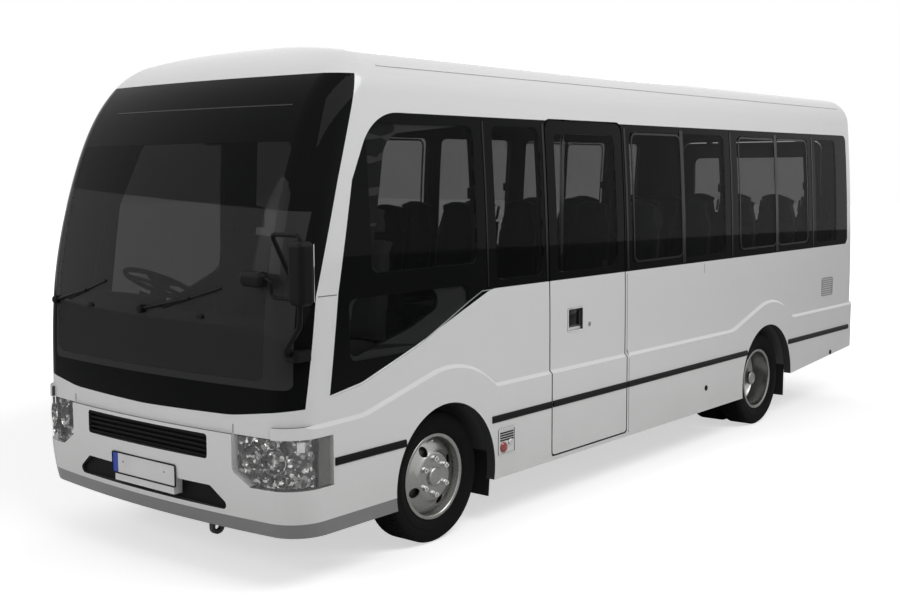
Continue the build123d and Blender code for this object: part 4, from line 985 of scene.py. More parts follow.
# %% Side mouldings
MOULDING_Z = 0.6175
MOULDING_HEIGHT = 0.039
MOULDING_DEPTH = 0.009
MOULDING_CROWN = 0.005
DOOR_GAP = 0.006
PASSENGER_DOOR_Y = (-1.33, -0.479)
DRIVER_DOOR_FRONT_Y = -3.045

# Piece, side, body, front y, rear y
MOULDINGS = [
    ("moulding_left_front", 1, "body", -3.150, -2.640),
    ("moulding_left_step", 1, "body", -1.915, PASSENGER_DOOR_Y[0] - DOOR_GAP),
    ("moulding_passenger_door", 1, "passenger_door", PASSENGER_DOOR_Y[0] + DOOR_GAP,
     PASSENGER_DOOR_Y[1] - DOOR_GAP),
    ("moulding_left_middle", 1, "body", PASSENGER_DOOR_Y[1] + DOOR_GAP, 1.265),
    ("moulding_left_rear", 1, "body", 2.010, 3.262),
    ("moulding_right_front", -1, "body", -3.150, DRIVER_DOOR_FRONT_Y - DOOR_GAP),
    ("moulding_driver_door", -1, "driver_door", DRIVER_DOOR_FRONT_Y + DOOR_GAP, -2.700),
    ("moulding_right_middle", -1, "body", -1.850, 1.265),
    ("moulding_right_rear", -1, "body", 2.010, 3.262),
]
for name, sign, body, front, rear in MOULDINGS:
    mesh = bmesh.new()
    side_strip(mesh, sign, [(front, MOULDING_Z), (rear, MOULDING_Z)], MOULDING_HEIGHT, MOULDING_DEPTH,
               crown=MOULDING_CROWN)
    finish_piece(name, mesh, trim_black, body, "trim_black")

# %% [markdown]
# Panels meet in butt joints, which show as thin dark lines. Each is a narrow strip of sealant, a fraction of
# a millimetre proud. The gutter along the roof is a raised strip in body colour, and the bright edge under
# the sweep of the glass on the left is one in polished metal.

# %% Panel joints
JOINT_WIDTH = 0.005
JOINT_HEIGHT = 0.0004

# Side, corners of the joint in y and z
PANEL_JOINTS = [
    (1, [(-0.455, 1.335), (-0.455, 0.30)]),
    (1, [(0.60, 1.335), (0.60, 1.27)]),
    (1, [(-3.225, 1.414), (-3.10, 1.414)]),
    (-1, [(-1.99, 1.335), (-1.99, 0.65)]),
    (-1, [(0.60, 1.335), (0.60, 0.30)]),
    (-1, [(-3.225, 1.414), (-3.10, 1.414)]),
]
mesh = bmesh.new()
for sign, corners in PANEL_JOINTS:
    side_strip(mesh, sign, corners, JOINT_WIDTH, JOINT_HEIGHT)
finish_piece("panel_joints", mesh, joint_grey, "body", "trim_black")

# %% Roof gutters
GUTTER_Z = 2.524
GUTTER_Y = (-2.70, 3.20)
GUTTER_WIDTH = 0.006
GUTTER_HEIGHT = 0.0035

mesh = bmesh.new()
for sign in (1, -1):
    side_strip(mesh, sign, [(y, GUTTER_Z) for y in GUTTER_Y], GUTTER_WIDTH, GUTTER_HEIGHT)
finish_piece("roof_gutters", mesh, body_paint, "body", "body_white")

# %% Bright edge along the sweep of the glass
SWEEP = [(-3.150, 0.931), (-2.939, 0.964), (-2.525, 1.102), (-2.10, 1.294), (-1.979, 1.344), (-1.90, 1.3455)]
SWEEP_WIDTH = 0.006
SWEEP_HEIGHT = 0.002

mesh = bmesh.new()
side_strip(mesh, 1, SWEEP, SWEEP_WIDTH, SWEEP_HEIGHT, step=0.04)
finish_piece("sweep_edge", mesh, chrome, "body", "rim_silver")

# %% [markdown]
# ### Window furniture
# The bonded glass is divided by black bars, and some panes slide in a slim frame with a latch. The bars are
# raised a little, which catches the light, and each latch is a small moulded block on the inside of its pane.

# %% Window bars
WINDOW_LOW = 1.362
WINDOW_HIGH = 2.268
BAR_DEPTH = 0.003

# Side, middle y, width
WINDOW_BARS = [
    (1, -1.921, 0.012), (1, -1.352, 0.020), (1, -0.444, 0.022), (1, 0.299, 0.045), (1, 1.035, 0.016),
    (1, 1.806, 0.045), (1, 2.505, 0.016), (-1, -1.96, 0.016), (-1, -1.03, 0.016), (-1, -0.035, 0.045),
    (-1, 0.48, 0.030), (-1, 1.035, 0.016), (-1, 1.806, 0.045), (-1, 2.505, 0.016),
]
mesh = bmesh.new()
for sign, y, width in WINDOW_BARS:
    side_strip(mesh, sign, [(y, WINDOW_LOW), (y, WINDOW_HIGH)], width, BAR_DEPTH, step=0.1)
finish_piece("window_bars", mesh, gloss_black, "body", "trim_black")

# %% Window sashes and latches
SASH_WIDTH = 0.014
SASH_LIFT = 0.002
SASH_INSET = 0.012

# Side, front y, rear y of each sliding pane
SASHES = [(1, -0.36, 0.28), (1, 1.17, 1.79), (1, 1.825, 2.40), (-1, -0.93, -0.14), (-1, 1.17, 1.79),
          (-1, 1.825, 2.40)]

mesh = bmesh.new()
for sign, front, rear in SASHES:
    outline = rounded_rectangle(front, rear, OPENING_BOTTOM + SASH_INSET, OPENING_TOP - SASH_INSET, 0.05)
    side_strip(mesh, sign, outline, SASH_WIDTH, SASH_LIFT, step=0.05)
finish_piece("window_sashes", mesh, gloss_black, "body", "trim_black")

LATCH_SIZE = (0.018, 0.036, 0.060)
LATCH_BEHIND = 0.022
# Side, y, z
LATCHES = [(1, -2.025, 1.879), (1, 0.896, 1.867), (1, 2.393, 1.864), (-1, 0.896, 1.867), (-1, 2.393, 1.864)]

mesh = bmesh.new()
for sign, y, z in LATCHES:
    x = sign * (side_x(sign, y, z) - LATCH_BEHIND)
    half = Vector(LATCH_SIZE) / 2
    middle = Vector((x, y, z))
    add_box(mesh, middle - half, middle + half, 0.004)
finish_piece("window_latches", mesh, trim_black, "body", "trim_black")

# %% [markdown]
# ### Door handle and lock
# The passenger door is opened from outside by a flap in a square recess. The recess has a pale frame, and the
# flap hangs from a pin at its top edge. The lock barrel sits behind it.

# %% Passenger door handle
HANDLE_Y = (-1.136, -0.980)
HANDLE_Z = (1.033, 1.164)
FRAME_WIDTH = 0.010
FRAME_GAP = 0.004
PIN_RADIUS = 0.005

mesh = bmesh.new()
outline = rounded_rectangle(HANDLE_Y[0] - FRAME_GAP, HANDLE_Y[1] + FRAME_GAP, HANDLE_Z[0] - FRAME_GAP,
                            HANDLE_Z[1] + FRAME_GAP, 0.010)
side_strip(mesh, 1, outline, FRAME_WIDTH, 0.0025, step=0.05)
finish_piece("handle_frame", mesh, body_paint, "passenger_door", "body_white")

mesh = bmesh.new()
handle_x = side_x(1, HANDLE_Y[0] - 0.03, HANDLE_Z[1]) - 0.016
add_box(mesh, (handle_x - 0.010, HANDLE_Y[0] + 0.012, HANDLE_Z[0] + 0.026),
        (handle_x, HANDLE_Y[1] - 0.012, HANDLE_Z[1] - 0.008), 0.003)
pin_x = handle_x - 0.006
pin_z = HANDLE_Z[1] - 0.012
add_rod(mesh, (pin_x, HANDLE_Y[0] + 0.002, pin_z), (pin_x, HANDLE_Y[1] - 0.002, pin_z), PIN_RADIUS)
finish_piece("handle_flap", mesh, gloss_black, "passenger_door", "trim_black")

LOCK_Y = -0.903
LOCK_Z = 1.056
LOCK_PROFILE = [(-0.004, 0.0), (-0.004, 0.014), (0.003, 0.014), (0.004, 0.012), (0.004, 0.009),
                (0.001, 0.008), (0.001, 0.0)]

mesh = bmesh.new()
add_turned(mesh, LOCK_PROFILE, (side_x(1, LOCK_Y, LOCK_Z), LOCK_Y, LOCK_Z), "X", 24)
finish_piece("door_lock", mesh, plain_steel, "passenger_door", "steel")

# %% [markdown]
# ### Side markers, drain caps and air outlet
# Low on the side, behind the front wheel, is a framed panel with a louvre, a round light and a red reflector.
# Two small round caps sit further back, and the cabin's air leaves through a louvred outlet near the rear.

# %% Marker panel
MARKER_Y = (-1.856, -1.704)
MARKER_Z = (0.405, 0.552)
MARKER_SLATS = 4
SLAT_PITCH = 0.014

mesh = bmesh.new()
outline = rounded_rectangle(*MARKER_Y, *MARKER_Z, 0.012)
side_strip(mesh, 1, outline, FRAME_WIDTH, 0.004, step=0.05)
finish_piece("marker_frame", mesh, body_paint, "body", "body_white")

mesh = bmesh.new()
for i in range(MARKER_SLATS):
    z = MARKER_Z[1] - 0.024 - SLAT_PITCH * i
    side_strip(mesh, 1, [(MARKER_Y[0] + 0.014, z), (MARKER_Y[1] - 0.014, z)], SLAT_PITCH / 2, 0.003)
finish_piece("marker_louvre", mesh, trim_black, "body", "trim_black")

REFLECTOR_PROFILE = [(-0.003, 0.0), (-0.003, 0.030), (0.006, 0.030), (0.010, 0.026), (0.012, 0.014),
                     (0.012, 0.0)]
# Piece, place in y and z, size, finish, slot
MARKERS = [
    ("marker_reflector", (-1.812, 0.446), 1.0, lamp_red, "lamp_red"),
    ("marker_light", (-1.752, 0.470), 0.62, chrome, "lamp_clear"),
]
for name, point, size, material, slot in MARKERS:
    mesh = bmesh.new()
    profile = [(height, radius * size) for height, radius in REFLECTOR_PROFILE]
    add_turned(mesh, profile, (side_x(1, *point), *point), "X", 32)
    finish_piece(name, mesh, material, "body", slot)

# %% Drain caps
CAP_PROFILE = [(-0.003, 0.0), (-0.003, 0.020), (0.003, 0.020), (0.006, 0.016), (0.006, 0.0)]
# Side, y, z
CAPS = [(1, 0.612, 0.440), (1, 2.882, 0.432), (-1, 0.612, 0.440), (-1, 2.882, 0.432)]

mesh = bmesh.new()
for sign, y, z in CAPS:
    add_turned(mesh, [(sign * a, r) for a, r in CAP_PROFILE], (sign * side_x(sign, y, z), y, z), "X", 24)
finish_piece("drain_caps", mesh, trim_black, "body", "trim_black")

# %% Air outlets
OUTLET_Y = (2.706, 2.928)
OUTLET_Z = (0.932, 1.077)
OUTLET_SLATS = 7
OUTLET_PITCH = (OUTLET_Z[1] - OUTLET_Z[0]) / (OUTLET_SLATS + 1)
SLAT_SHARE = 0.62

mesh = bmesh.new()
for sign in (1, -1):
    side_strip(mesh, sign, rounded_rectangle(*OUTLET_Y, *OUTLET_Z, 0.014), FRAME_WIDTH, 0.003, step=0.05)
    for i in range(OUTLET_SLATS):
        z = OUTLET_Z[0] + OUTLET_PITCH * (i + 1)
        ends = [(OUTLET_Y[0] + 0.008, z), (OUTLET_Y[1] - 0.008, z)]
        side_strip(mesh, sign, ends, OUTLET_PITCH * SLAT_SHARE, 0.0025)
finish_piece("air_outlets", mesh, outlet_grey, "body", "trim_black")

# %% [markdown]
# ## Headlamps
# Each lamp wraps round the front corner. Behind a clear cover sit faceted bowls, a housing pressed into small
# flat mirrors, and a light at the corner. The cover is the outer face of the model's lamp,
# given a wall. What lies behind it is cast on to that face from a point inside the corner, then drawn back.

# %% Lamp covers
COVER_WALL = 0.003
LAMP_FACING = 0.45
# Point inside the left lamp's corner, from which its outer face is seen
LAMP_HUB = Vector((0.60, -3.00, 0.63))

mesh = bmesh.new()
mesh.from_mesh(NODES["headlamps"].data)
bmesh.ops.remove_doubles(mesh, verts=mesh.verts, dist=0.0001)
mesh.normal_update()
hidden = []
for face in mesh.faces:
    middle = face.calc_center_median()
    out = middle - Vector((math.copysign(LAMP_HUB.x, middle.x), LAMP_HUB.y, LAMP_HUB.z))
    out.z = 0
    if face.normal.dot(out.normalized()) < LAMP_FACING:
        hidden.append(face)
bmesh.ops.delete(mesh, geom=hidden, context="FACES")
bmesh.ops.solidify(mesh, geom=mesh.faces[:], thickness=COVER_WALL)
lamp_covers = finish_piece("headlamp_covers", mesh, lamp_cover, "body", "lamp_clear")
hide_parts("headlamps")

# %% Cast on to a lamp
LAMP_SKIN = skin_of("headlamps")


def lamp_place(angle, z, depth):
    """Point behind the left lamp's outer face; angle turns from straight ahead towards the side."""
    out = Vector((math.sin(angle), -math.cos(angle), 0))
    start = Vector((LAMP_HUB.x, LAMP_HUB.y, z)) + out * 2
    hit = LAMP_SKIN.ray_cast(start, -out)[0]
    return (hit or start - out * 1.6) - out * depth


# %% [markdown]
# The housing is a sheet of flat mirrors: a grid in angle and height, whose points are pushed in and out by
# small seeded steps. Flat shading keeps every mirror separate, and that gives the glitter, to which the
# mirror finish adds painted glints.

# %% Mirrored housing
import random

FLAT_ANGLE = math.radians(2)
HOUSING_ANGLES = (math.radians(8.5), math.radians(62))
HOUSING_Z = (0.514, 0.746)
HOUSING_DEPTH = 0.032
MIRROR_STEP = 0.005
# The housing ends at a slanting edge: a point of it and its run
HOUSING_EDGE = (0.668, 0, 0.580)
HOUSING_EDGE_RUN = Vector((0.115, 0, -0.067))

random.seed(7)
mesh = bmesh.new()
bmesh.ops.create_grid(mesh, x_segments=26, y_segments=13, size=0.5)
for vert in mesh.verts:
    angle = HOUSING_ANGLES[0] + (HOUSING_ANGLES[1] - HOUSING_ANGLES[0]) * (vert.co.x + 0.5)
    z = HOUSING_Z[0] + (HOUSING_Z[1] - HOUSING_Z[0]) * (vert.co.y + 0.5)
    vert.co = lamp_place(angle, z, HOUSING_DEPTH + random.uniform(-MIRROR_STEP, MIRROR_STEP))
cut = HOUSING_EDGE_RUN.cross(Vector((0, 1, 0)))
bmesh.ops.bisect_plane(
    mesh, geom=mesh.verts[:] + mesh.edges[:] + mesh.faces[:], plane_co=HOUSING_EDGE, plane_no=cut,
    clear_outer=cut.z < 0, clear_inner=cut.z > 0,
)
give_depth(mesh, (-0.006, 0.008, 0))
mirror_across(mesh)
finish_piece("headlamp_mirrors", mesh, lamp_mirror, "body", "rim_silver", sharp=FLAT_ANGLE)

# %% Reflector bowls and bulbs
BOWL_PROFILE = [
    (-0.043, 0.0), (-0.043, 0.012), (-0.034, 0.030), (-0.020, 0.048), (0.000, 0.060), (0.003, 0.064),
    (0.003, 0.067), (-0.003, 0.067), (-0.024, 0.052), (-0.040, 0.032), (-0.047, 0.012), (-0.047, 0.0),
]
BULB_PROFILE = [(-0.040, 0.0), (-0.040, 0.007), (-0.012, 0.007), (-0.008, 0.005), (-0.006, 0.0)]
BOWL_SIDES = 20
BOWL_REACH = 0.42
BOWL_DEPTH = 0.014

# Middle x and z of each bowl, and its size
BOWLS = [(0.765, 0.655, 0.92), (0.905, 0.648, 0.98), (0.845, 0.562, 0.50), (0.950, 0.556, 0.46)]

mesh = bmesh.new()
bulbs = bmesh.new()
for x, z, size in BOWLS:
    angle = math.atan2(x - LAMP_HUB.x, BOWL_REACH)
    place = lamp_place(angle, z, BOWL_DEPTH)
    turn = turned_to((math.sin(angle) * 0.5, -math.cos(angle), 0))
    add_turned(mesh, [(a * size, r * size) for a, r in BOWL_PROFILE], place, turn, BOWL_SIDES)
    add_turned(bulbs, [(a * size, r * size) for a, r in BULB_PROFILE], place, turn, 12)
mirror_across(mesh)
mirror_across(bulbs)
finish_piece("headlamp_bowls", mesh, lamp_mirror, "body", "rim_silver", sharp=FLAT_ANGLE)
finish_piece("headlamp_bulbs", bulbs, lamp_white, "body", "lamp_clear")

# %% [markdown]
# At the corner a small light stands between two black blocks, and beyond it a grey panel closes the
# lamp's side. The light is real, but its plain white colour is a painted highlight that stands in for a
# bright reflection in a clear lens. All of them stand a little behind the cover, turned to face out of the
# corner.

# %% Corner lights
# Piece, angles round the corner, z, depth behind the cover, half size, rounding, finish, slot
CORNER_BLOCKS = [
    # The corner light is white all over: a painted highlight in place of a reflection in its lens
    ("corner_lights", [50], 0.715, 0.016, (0.019, 0.004, 0.026), 0.003, lamp_white, "lamp_clear"),
    ("corner_light_surrounds", [41, 58.5], 0.712, 0.017, (0.014, 0.003, 0.028), 0.002, gloss_black,
     "trim_black"),
]
BLOCK_BACK = 0.006

for name, angles, z, depth, (across, front, up), rounding, material, slot in CORNER_BLOCKS:
    mesh = bmesh.new()
    for angle in angles:
        turn = tilted(lamp_place(math.radians(angle), z, depth), angle, "Z")
        add_box(mesh, (-across, -front, -up), (across, BLOCK_BACK, up), rounding, turn)
    mirror_across(mesh)
    finish_piece(name, mesh, material, "body", slot)

# %% Rear part of each lamp
PANEL_START = math.radians(60)
PANEL_TURN = math.radians(21)
PANEL_DEPTH = 0.012

mesh = bmesh.new()
bmesh.ops.create_grid(mesh, x_segments=8, y_segments=6, size=0.5)
for vert in mesh.verts:
    angle = PANEL_START + PANEL_TURN * (vert.co.x + 0.5)
    z = HOUSING_Z[0] + (HOUSING_Z[1] - HOUSING_Z[0]) * (vert.co.y + 0.5)
    vert.co = lamp_place(angle, z, PANEL_DEPTH)
give_depth(mesh, (-0.008, 0, 0))
mirror_across(mesh)
finish_piece("lamp_side_panels", mesh, lamp_grey, "body", "rim_silver")

# %% [markdown]
# ## Front trim
# The number plate carries a plain blue strip at one end and is held by two screws. Two washer jets stand on
# the lower part of the screen, the wiper spindles have round caps, and a fine grey line crosses the top of
# the screen. Thin joints divide the front panel, and each outside mirror gets its glass.

# %% Number plate
PLATE_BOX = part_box("number_plate")
PLATE_FRONT_Y = PLATE_BOX[0].y
PLATE_LOW_Z = 0.436
PLATE_HIGH_Z = 0.546
PLATE_HALF = 0.26

mesh = bmesh.new()
add_box(mesh, (-PLATE_HALF + 0.003, PLATE_FRONT_Y - 0.0008, PLATE_LOW_Z + 0.003),
        (-PLATE_HALF + 0.046, PLATE_FRONT_Y + 0.001, PLATE_HIGH_Z - 0.003))
finish_piece("plate_strip", mesh, plate_blue, "body", "plate_white")

mesh = bmesh.new()
rim_path = rounded_rectangle(-PLATE_HALF, PLATE_HALF, PLATE_LOW_Z, PLATE_HIGH_Z, 0.008)
add_strip(mesh, rim_path, 0.007, 0.003, lambda x, z, lift: Vector((x, PLATE_FRONT_Y - lift, z)), (0, 1, 0),
          step=0.2)
finish_piece("plate_surround", mesh, trim_black, "body", "trim_black")

SCREW_X = 0.17
SCREW_Z = 0.5
SCREW_PROFILE = [(-0.002, 0.0), (-0.002, 0.006), (0.001, 0.006), (0.002, 0.004), (0.002, 0.0)]
mesh = bmesh.new()
for x in (-SCREW_X, SCREW_X):
    add_turned(mesh, [(-a, r) for a, r in SCREW_PROFILE], (x, PLATE_FRONT_Y, SCREW_Z), "Y", 16)
finish_piece("plate_screws", mesh, plain_steel, "body", "steel")

# %% Washer jets and wiper spindles
# x, z
JETS = [(-0.485, 1.298), (0.424, 1.301)]
SPINDLES = [(-0.850, 1.300), (-0.013, 1.311)]
SPINDLE_CAP = [(-0.012, 0.0), (-0.012, 0.022), (0.016, 0.022), (0.022, 0.017), (0.024, 0.0)]

mesh = bmesh.new()
for x, z in JETS:
    y = front_y(x, z)
    add_box(mesh, (x - 0.024, y - 0.010, z - 0.010), (x + 0.024, y + 0.004, z + 0.010), 0.005)
for x, z in SPINDLES:
    add_turned(mesh, [(-a, r) for a, r in SPINDLE_CAP], (x, front_y(x - 0.03, z + 0.03) - 0.012, z), "Y", 24)
finish_piece("washer_jets", mesh, trim_black, "body", "trim_black")

# %% Line across the top of the screen
TOP_LINE = [(-0.62, 2.318), (0.76, 2.318)]

mesh = bmesh.new()
front_strip(mesh, TOP_LINE, 0.006, 0.0012, 0.08)
finish_piece("screen_top_line", mesh, band_grey, "body", "trim_black")

# %% Front panel joints
FRONT_JOINT_X = 0.650
FRONT_JOINT_Z = (0.758, 0.800)
THIN_JOINT = 0.004

mesh = bmesh.new()
for x in (FRONT_JOINT_X, -FRONT_JOINT_X):
    front_strip(mesh, [(x, z) for z in FRONT_JOINT_Z], THIN_JOINT, JOINT_HEIGHT, 0.02)
finish_piece("front_joints", mesh, joint_grey, "body", "trim_black")

# %% Mirror glasses
# Node, body, x span, y, z span
MIRROR_FACES = [("mirrors", "body", (1.095, 1.175), -3.402, (1.415, 1.675)),
                ("driver_mirror", "driver_door", (-1.177, -1.098), -2.966, (1.305, 1.575))]
for node, body, (x0, x1), y, (z0, z1) in MIRROR_FACES:
    mesh = bmesh.new()
    add_box(mesh, (x0, y, z0), (x1, y + 0.004, z1), 0.0015)
    finish_piece(node + "_glass", mesh, chrome, body, "steel")

# %% [markdown]
# ## Tyres
# A tyre is a section spun round its axle. The tread is cut after the spin: each face of the tread band is
# inset, which leaves a groove round it and raises a block. Two rings on the sidewall break up the rubber.

# %% Tyre section and tread
FRONT_AXLE_Y = -2.300
REAR_AXLE_Y = 1.635
FRONT_WHEEL_X = 0.853
TWIN_WHEEL_X = (0.614, 0.864)
TYRE_RADIUS = 0.360
TREAD_DEPTH = 0.0075
GROOVE_WIDTH = 0.0035
# Half widths of the rows of blocks
TREAD_EDGES = (0.080, 0.048, 0.016)
TYRE_STEPS = 72

# Across the tyre from its middle, radius: one half, from the bead to the tread
HALF_SECTION = [
    (0.081, 0.222), (0.081, 0.236), (0.091, 0.250), (0.0975, 0.268), (0.0995, 0.282), (0.1005, 0.284),
    (0.1005, 0.289), (0.0995, 0.291), (0.0990, 0.312), (0.0996, 0.314), (0.0992, 0.319), (0.0984, 0.321),
    (0.0972, 0.336), (0.0935, 0.346), (0.0880, 0.351),
]
section = [*HALF_SECTION, *[(x, TYRE_RADIUS - TREAD_DEPTH) for x in TREAD_EDGES]]
section += [(-x, radius) for x, radius in reversed(section)]


def add_tyre(mesh, place):
    """One tyre with tread blocks, its middle at place."""
    part = bmesh.new()
    add_turned(part, section, place, "X", TYRE_STEPS, closed=True)
    band = []
    for face in part.faces:
        out = face.calc_center_median() - Vector(place)
        if out.yz.length > TYRE_RADIUS - TREAD_DEPTH - 0.002 and abs(out.x) < TREAD_EDGES[0]:
            band.append(face)
    bmesh.ops.inset_individual(part, faces=band, thickness=GROOVE_WIDTH, depth=TREAD_DEPTH,
                               use_even_offset=True)
    join(mesh, part)


# Tyre node, body, side, x of each tyre's middle, y of the axle
TYRES = [
    ("front_left_tyre", "front_left_wheel", 1, [FRONT_WHEEL_X], FRONT_AXLE_Y),
    ("front_right_tyre", "front_right_wheel", -1, [FRONT_WHEEL_X], FRONT_AXLE_Y),
    ("rear_left_tyres", "rear_left_wheels", 1, TWIN_WHEEL_X, REAR_AXLE_Y),
    ("rear_right_tyres", "rear_right_wheels", -1, TWIN_WHEEL_X, REAR_AXLE_Y),
]
for node, body, sign, middles, axle_y in TYRES:
    mesh = bmesh.new()
    for x in middles:
        add_tyre(mesh, (sign * x, axle_y, TYRE_RADIUS))
    tyre = finish_piece(node + "_rubber", mesh, tyre_rubber, body, "tyre_rubber")
    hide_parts(node)

# %% [markdown]
# Six nuts hold each wheel, on studs that stand a little proud of them. A short valve comes through the disc.

# %% Wheel nuts and valves
NUTS = 6
NUT_PITCH_RADIUS = 0.098
NUT_RADIUS = 0.0165
NUT_HEIGHT = 0.020
STUD_RADIUS = 0.0075
VALVE_RADIUS = 0.004
# x of the face that the nuts sit on, by axle
NUT_FACE_X = {FRONT_AXLE_Y: 0.939, REAR_AXLE_Y: 0.747}

for node, body, sign, middles, axle_y in TYRES:
    face_x = NUT_FACE_X[axle_y]
    mesh = bmesh.new()
    for i in range(NUTS):
        angle = math.tau * (i + 0.5) / NUTS
        y = axle_y + NUT_PITCH_RADIUS * math.cos(angle)
        z = TYRE_RADIUS + NUT_PITCH_RADIUS * math.sin(angle)
        nut_top = face_x + NUT_HEIGHT
        add_rod(mesh, (sign * (face_x - 0.002), y, z), (sign * nut_top, y, z), NUT_RADIUS, 6, rounding=0.002)
        stud_end = (sign * (nut_top + 0.010), y, z)
        add_rod(mesh, (sign * face_x, y, z), stud_end, STUD_RADIUS, 10, rounding=0.001)
    valve_z = TYRE_RADIUS + 0.190
    valve_end = (sign * (face_x - 0.012), axle_y, valve_z + 0.004)
    add_rod(mesh, (sign * (face_x - 0.035), axle_y, valve_z), valve_end, VALVE_RADIUS, 8)
    finish_piece(body + "_nuts", mesh, chrome, body, "steel")

# %% [markdown]
# ## Padded seats
# Foam under cloth swells between its seams, so the cushions and backs are inflated with the cloth simulation.
# A plain shape is remeshed into even squares, blown up for twenty frames, and held to a small travel.
# The sewn channels come afterwards: points near a seam line are drawn in.

# %% Shape and puff a pad
PAD_VOXEL = 0.011
PUFF_FRAMES = 20
PUFF_TRAVEL = 0.022
SEAM_DEPTH = 0.007
SEAM_REACH = 0.011
PRESSURE = 4


def shaped_block(width, depth, height, cuts, shape):
    """Block on the origin whose points are moved by shape(across, along, up), each from -1 to 1."""
    mesh = bmesh.new()
    bmesh.ops.create_cube(mesh, size=2)
    bmesh.ops.subdivide_edges(mesh, edges=mesh.edges[:], cuts=cuts, use_grid_fill=True)
    for vert in mesh.verts:
        across, along, up = shape(*vert.co)
        vert.co = (across * width / 2, along * depth / 2, up * height / 2)
    return mesh


def evaluated_copy(piece):
    """A mesh of the piece with its modifiers applied."""
    graph = bpy.context.evaluated_depsgraph_get()
    return bpy.data.meshes.new_from_object(piece.evaluated_get(graph))


def puffed(name, mesh, travel=PUFF_TRAVEL):
    """Remesh a closed shape into even squares and inflate it; returns a mesh on the origin."""
    data = bpy.data.meshes.new(name)
    mesh.to_mesh(data)
    mesh.free()
    piece = link_object(name, data)
    remesh = piece.modifiers.new("remesh", "REMESH")
    remesh.mode = "VOXEL"
    remesh.voxel_size = PAD_VOXEL
    even = evaluated_copy(piece)
    piece.modifiers.clear()
    piece.data = even
    cloth = piece.modifiers.new("cloth", "CLOTH")
    cloth.settings.use_pressure = True
    cloth.settings.uniform_pressure_force = PRESSURE
    cloth.settings.effector_weights.gravity = 0
    for frame_number in range(1, PUFF_FRAMES + 1):
        bpy.context.scene.frame_set(frame_number)
    blown = evaluated_copy(piece)
    for point, moved in zip(even.vertices, blown.vertices):
        step = moved.co - point.co
        if step.length > travel:
            step *= travel / step.length
        point.co += step
    bpy.data.meshes.remove(blown)
    piece.modifiers.clear()
    bpy.context.scene.frame_set(1)
    bpy.data.objects.remove(piece)
    print(name, "points", len(even.vertices))
    return even


def sew(data, seams):
    """Draw in the points near each seam; a seam gives a point's distance from it, or None."""
    for point in data.vertices:
        for seam in seams:
            distance = seam(point.co)
            if distance is not None and distance < 2 * SEAM_REACH:
                point.co -= point.normal * SEAM_DEPTH * math.exp(-((distance / SEAM_REACH) ** 2))


# %% [markdown]
# ### Cushion and back
# The cushion has a rolled front edge and two lengthwise channels. The back is wide at the shoulders and draws
# in to a rounded head part, as on coach seats, with a cross seam between the two. The front seats have a
# plain back with a head rest of its own.

# %% Seat cushion
CUSHION_SIZE = (0.365, 0.435, 0.085)
CHANNEL_X = 0.115


def cushion_shape(across, along, up):
    """Round the front edge and pull the sides in a little."""
    roll = max(0.0, -along - 0.7) / 0.3
    return across * (1 - 0.03 * (1 - along * along)), along, up * (1 - 0.35 * roll * roll)


cushion = puffed("cushion", shaped_block(*CUSHION_SIZE, 8, cushion_shape))
sew(cushion, [
    lambda p: abs(abs(p.x) - CHANNEL_X) if p.z > 0 else None,
    lambda p: abs(p.z + 0.004),
])

# %% Seat back
BACK_SIZE = (0.365, 0.080, 0.740)
SHOULDER_UP = 0.25
HEAD_NARROW = 0.34
CROSS_SEAM_Z = 0.125
BACK_CHANNEL_X = 0.105


def back_shape(across, along, up):
    """Draw the head part in above the shoulders, round its top and hollow the back's front a little."""
    rise = max(0.0, up - SHOULDER_UP) / (1 - SHOULDER_UP)
    bend = 3 * rise**2 - 2 * rise**3
    top = 1 - 0.10 * max(0.0, abs(across) - 0.35) * rise
    return across * (1 - HEAD_NARROW * bend), along * (1 + 0.25 * rise), up * top


back_pad = puffed("back", shaped_block(*BACK_SIZE, 10, back_shape))
sew(back_pad, [
    lambda p: abs(p.z - CROSS_SEAM_Z) if p.y < 0 else None,
    lambda p: abs(abs(p.x) - BACK_CHANNEL_X) if p.y < 0 and p.z < CROSS_SEAM_Z else None,
    lambda p: abs(p.y - 0.012),
])

# %% Back and head rest of the front seats
FRONT_BACK_SIZE = (0.40, 0.090, 0.58)
FRONT_CHANNEL_X = 0.125
HEAD_REST_SIZE = (0.22, 0.070, 0.13)
HEAD_REST_TRAVEL = 0.014


def front_back_shape(across, along, up):
    """Draw the upper half in towards the top."""
    return across * (1 - 0.10 * max(0, up)), along, up


def head_rest_shape(across, along, up):
    """A little narrower at the top than at the foot."""
    return across * (1 - 0.08 * up), along, up


front_back = puffed("front_back", shaped_block(*FRONT_BACK_SIZE, 8, front_back_shape))
sew(front_back, [
    lambda p: abs(abs(p.x) - FRONT_CHANNEL_X) if p.y < 0 else None,
    lambda p: abs(p.y - 0.014),
])
head_rest = puffed("head_rest", shaped_block(*HEAD_REST_SIZE, 5, head_rest_shape), HEAD_REST_TRAVEL)
sew(head_rest, [lambda p: abs(p.y - 0.008)])

# %% [markdown]
# ### Rows of seats
# The same pads are set down at every seat. Each seat's own frame is round tube on two feet, with a tray under
# the cushion, a hard shell behind the back and a grab handle on the aisle corner. A front seat stands on a
# box.

# %% Seat places
FLOOR_TOP = 0.640
SEAT_TILT = math.radians(8.3)
CUSHION_PLACE = Vector((0, 0.232, 0.383))
BACK_PLACE = Vector((0, 0.490, 0.790))
SEAT_HALF = 0.19
LEFT_SEAT_X = (0.365, 0.760)
LEFT_ROW_Y = (-0.380, 0.365, 1.110, 1.855)
RIGHT_ROW_Y = (-1.740, -0.995, -0.250, 0.495, 1.240, 1.985)
BENCH_Y = 2.650
BENCH_PITCH = 0.37
BENCH_X = [-0.74 + BENCH_PITCH * i for i in range(5)]
FRONT_SEAT_Y = -2.860
FRONT_SEAT_X = (0.485, -0.485)

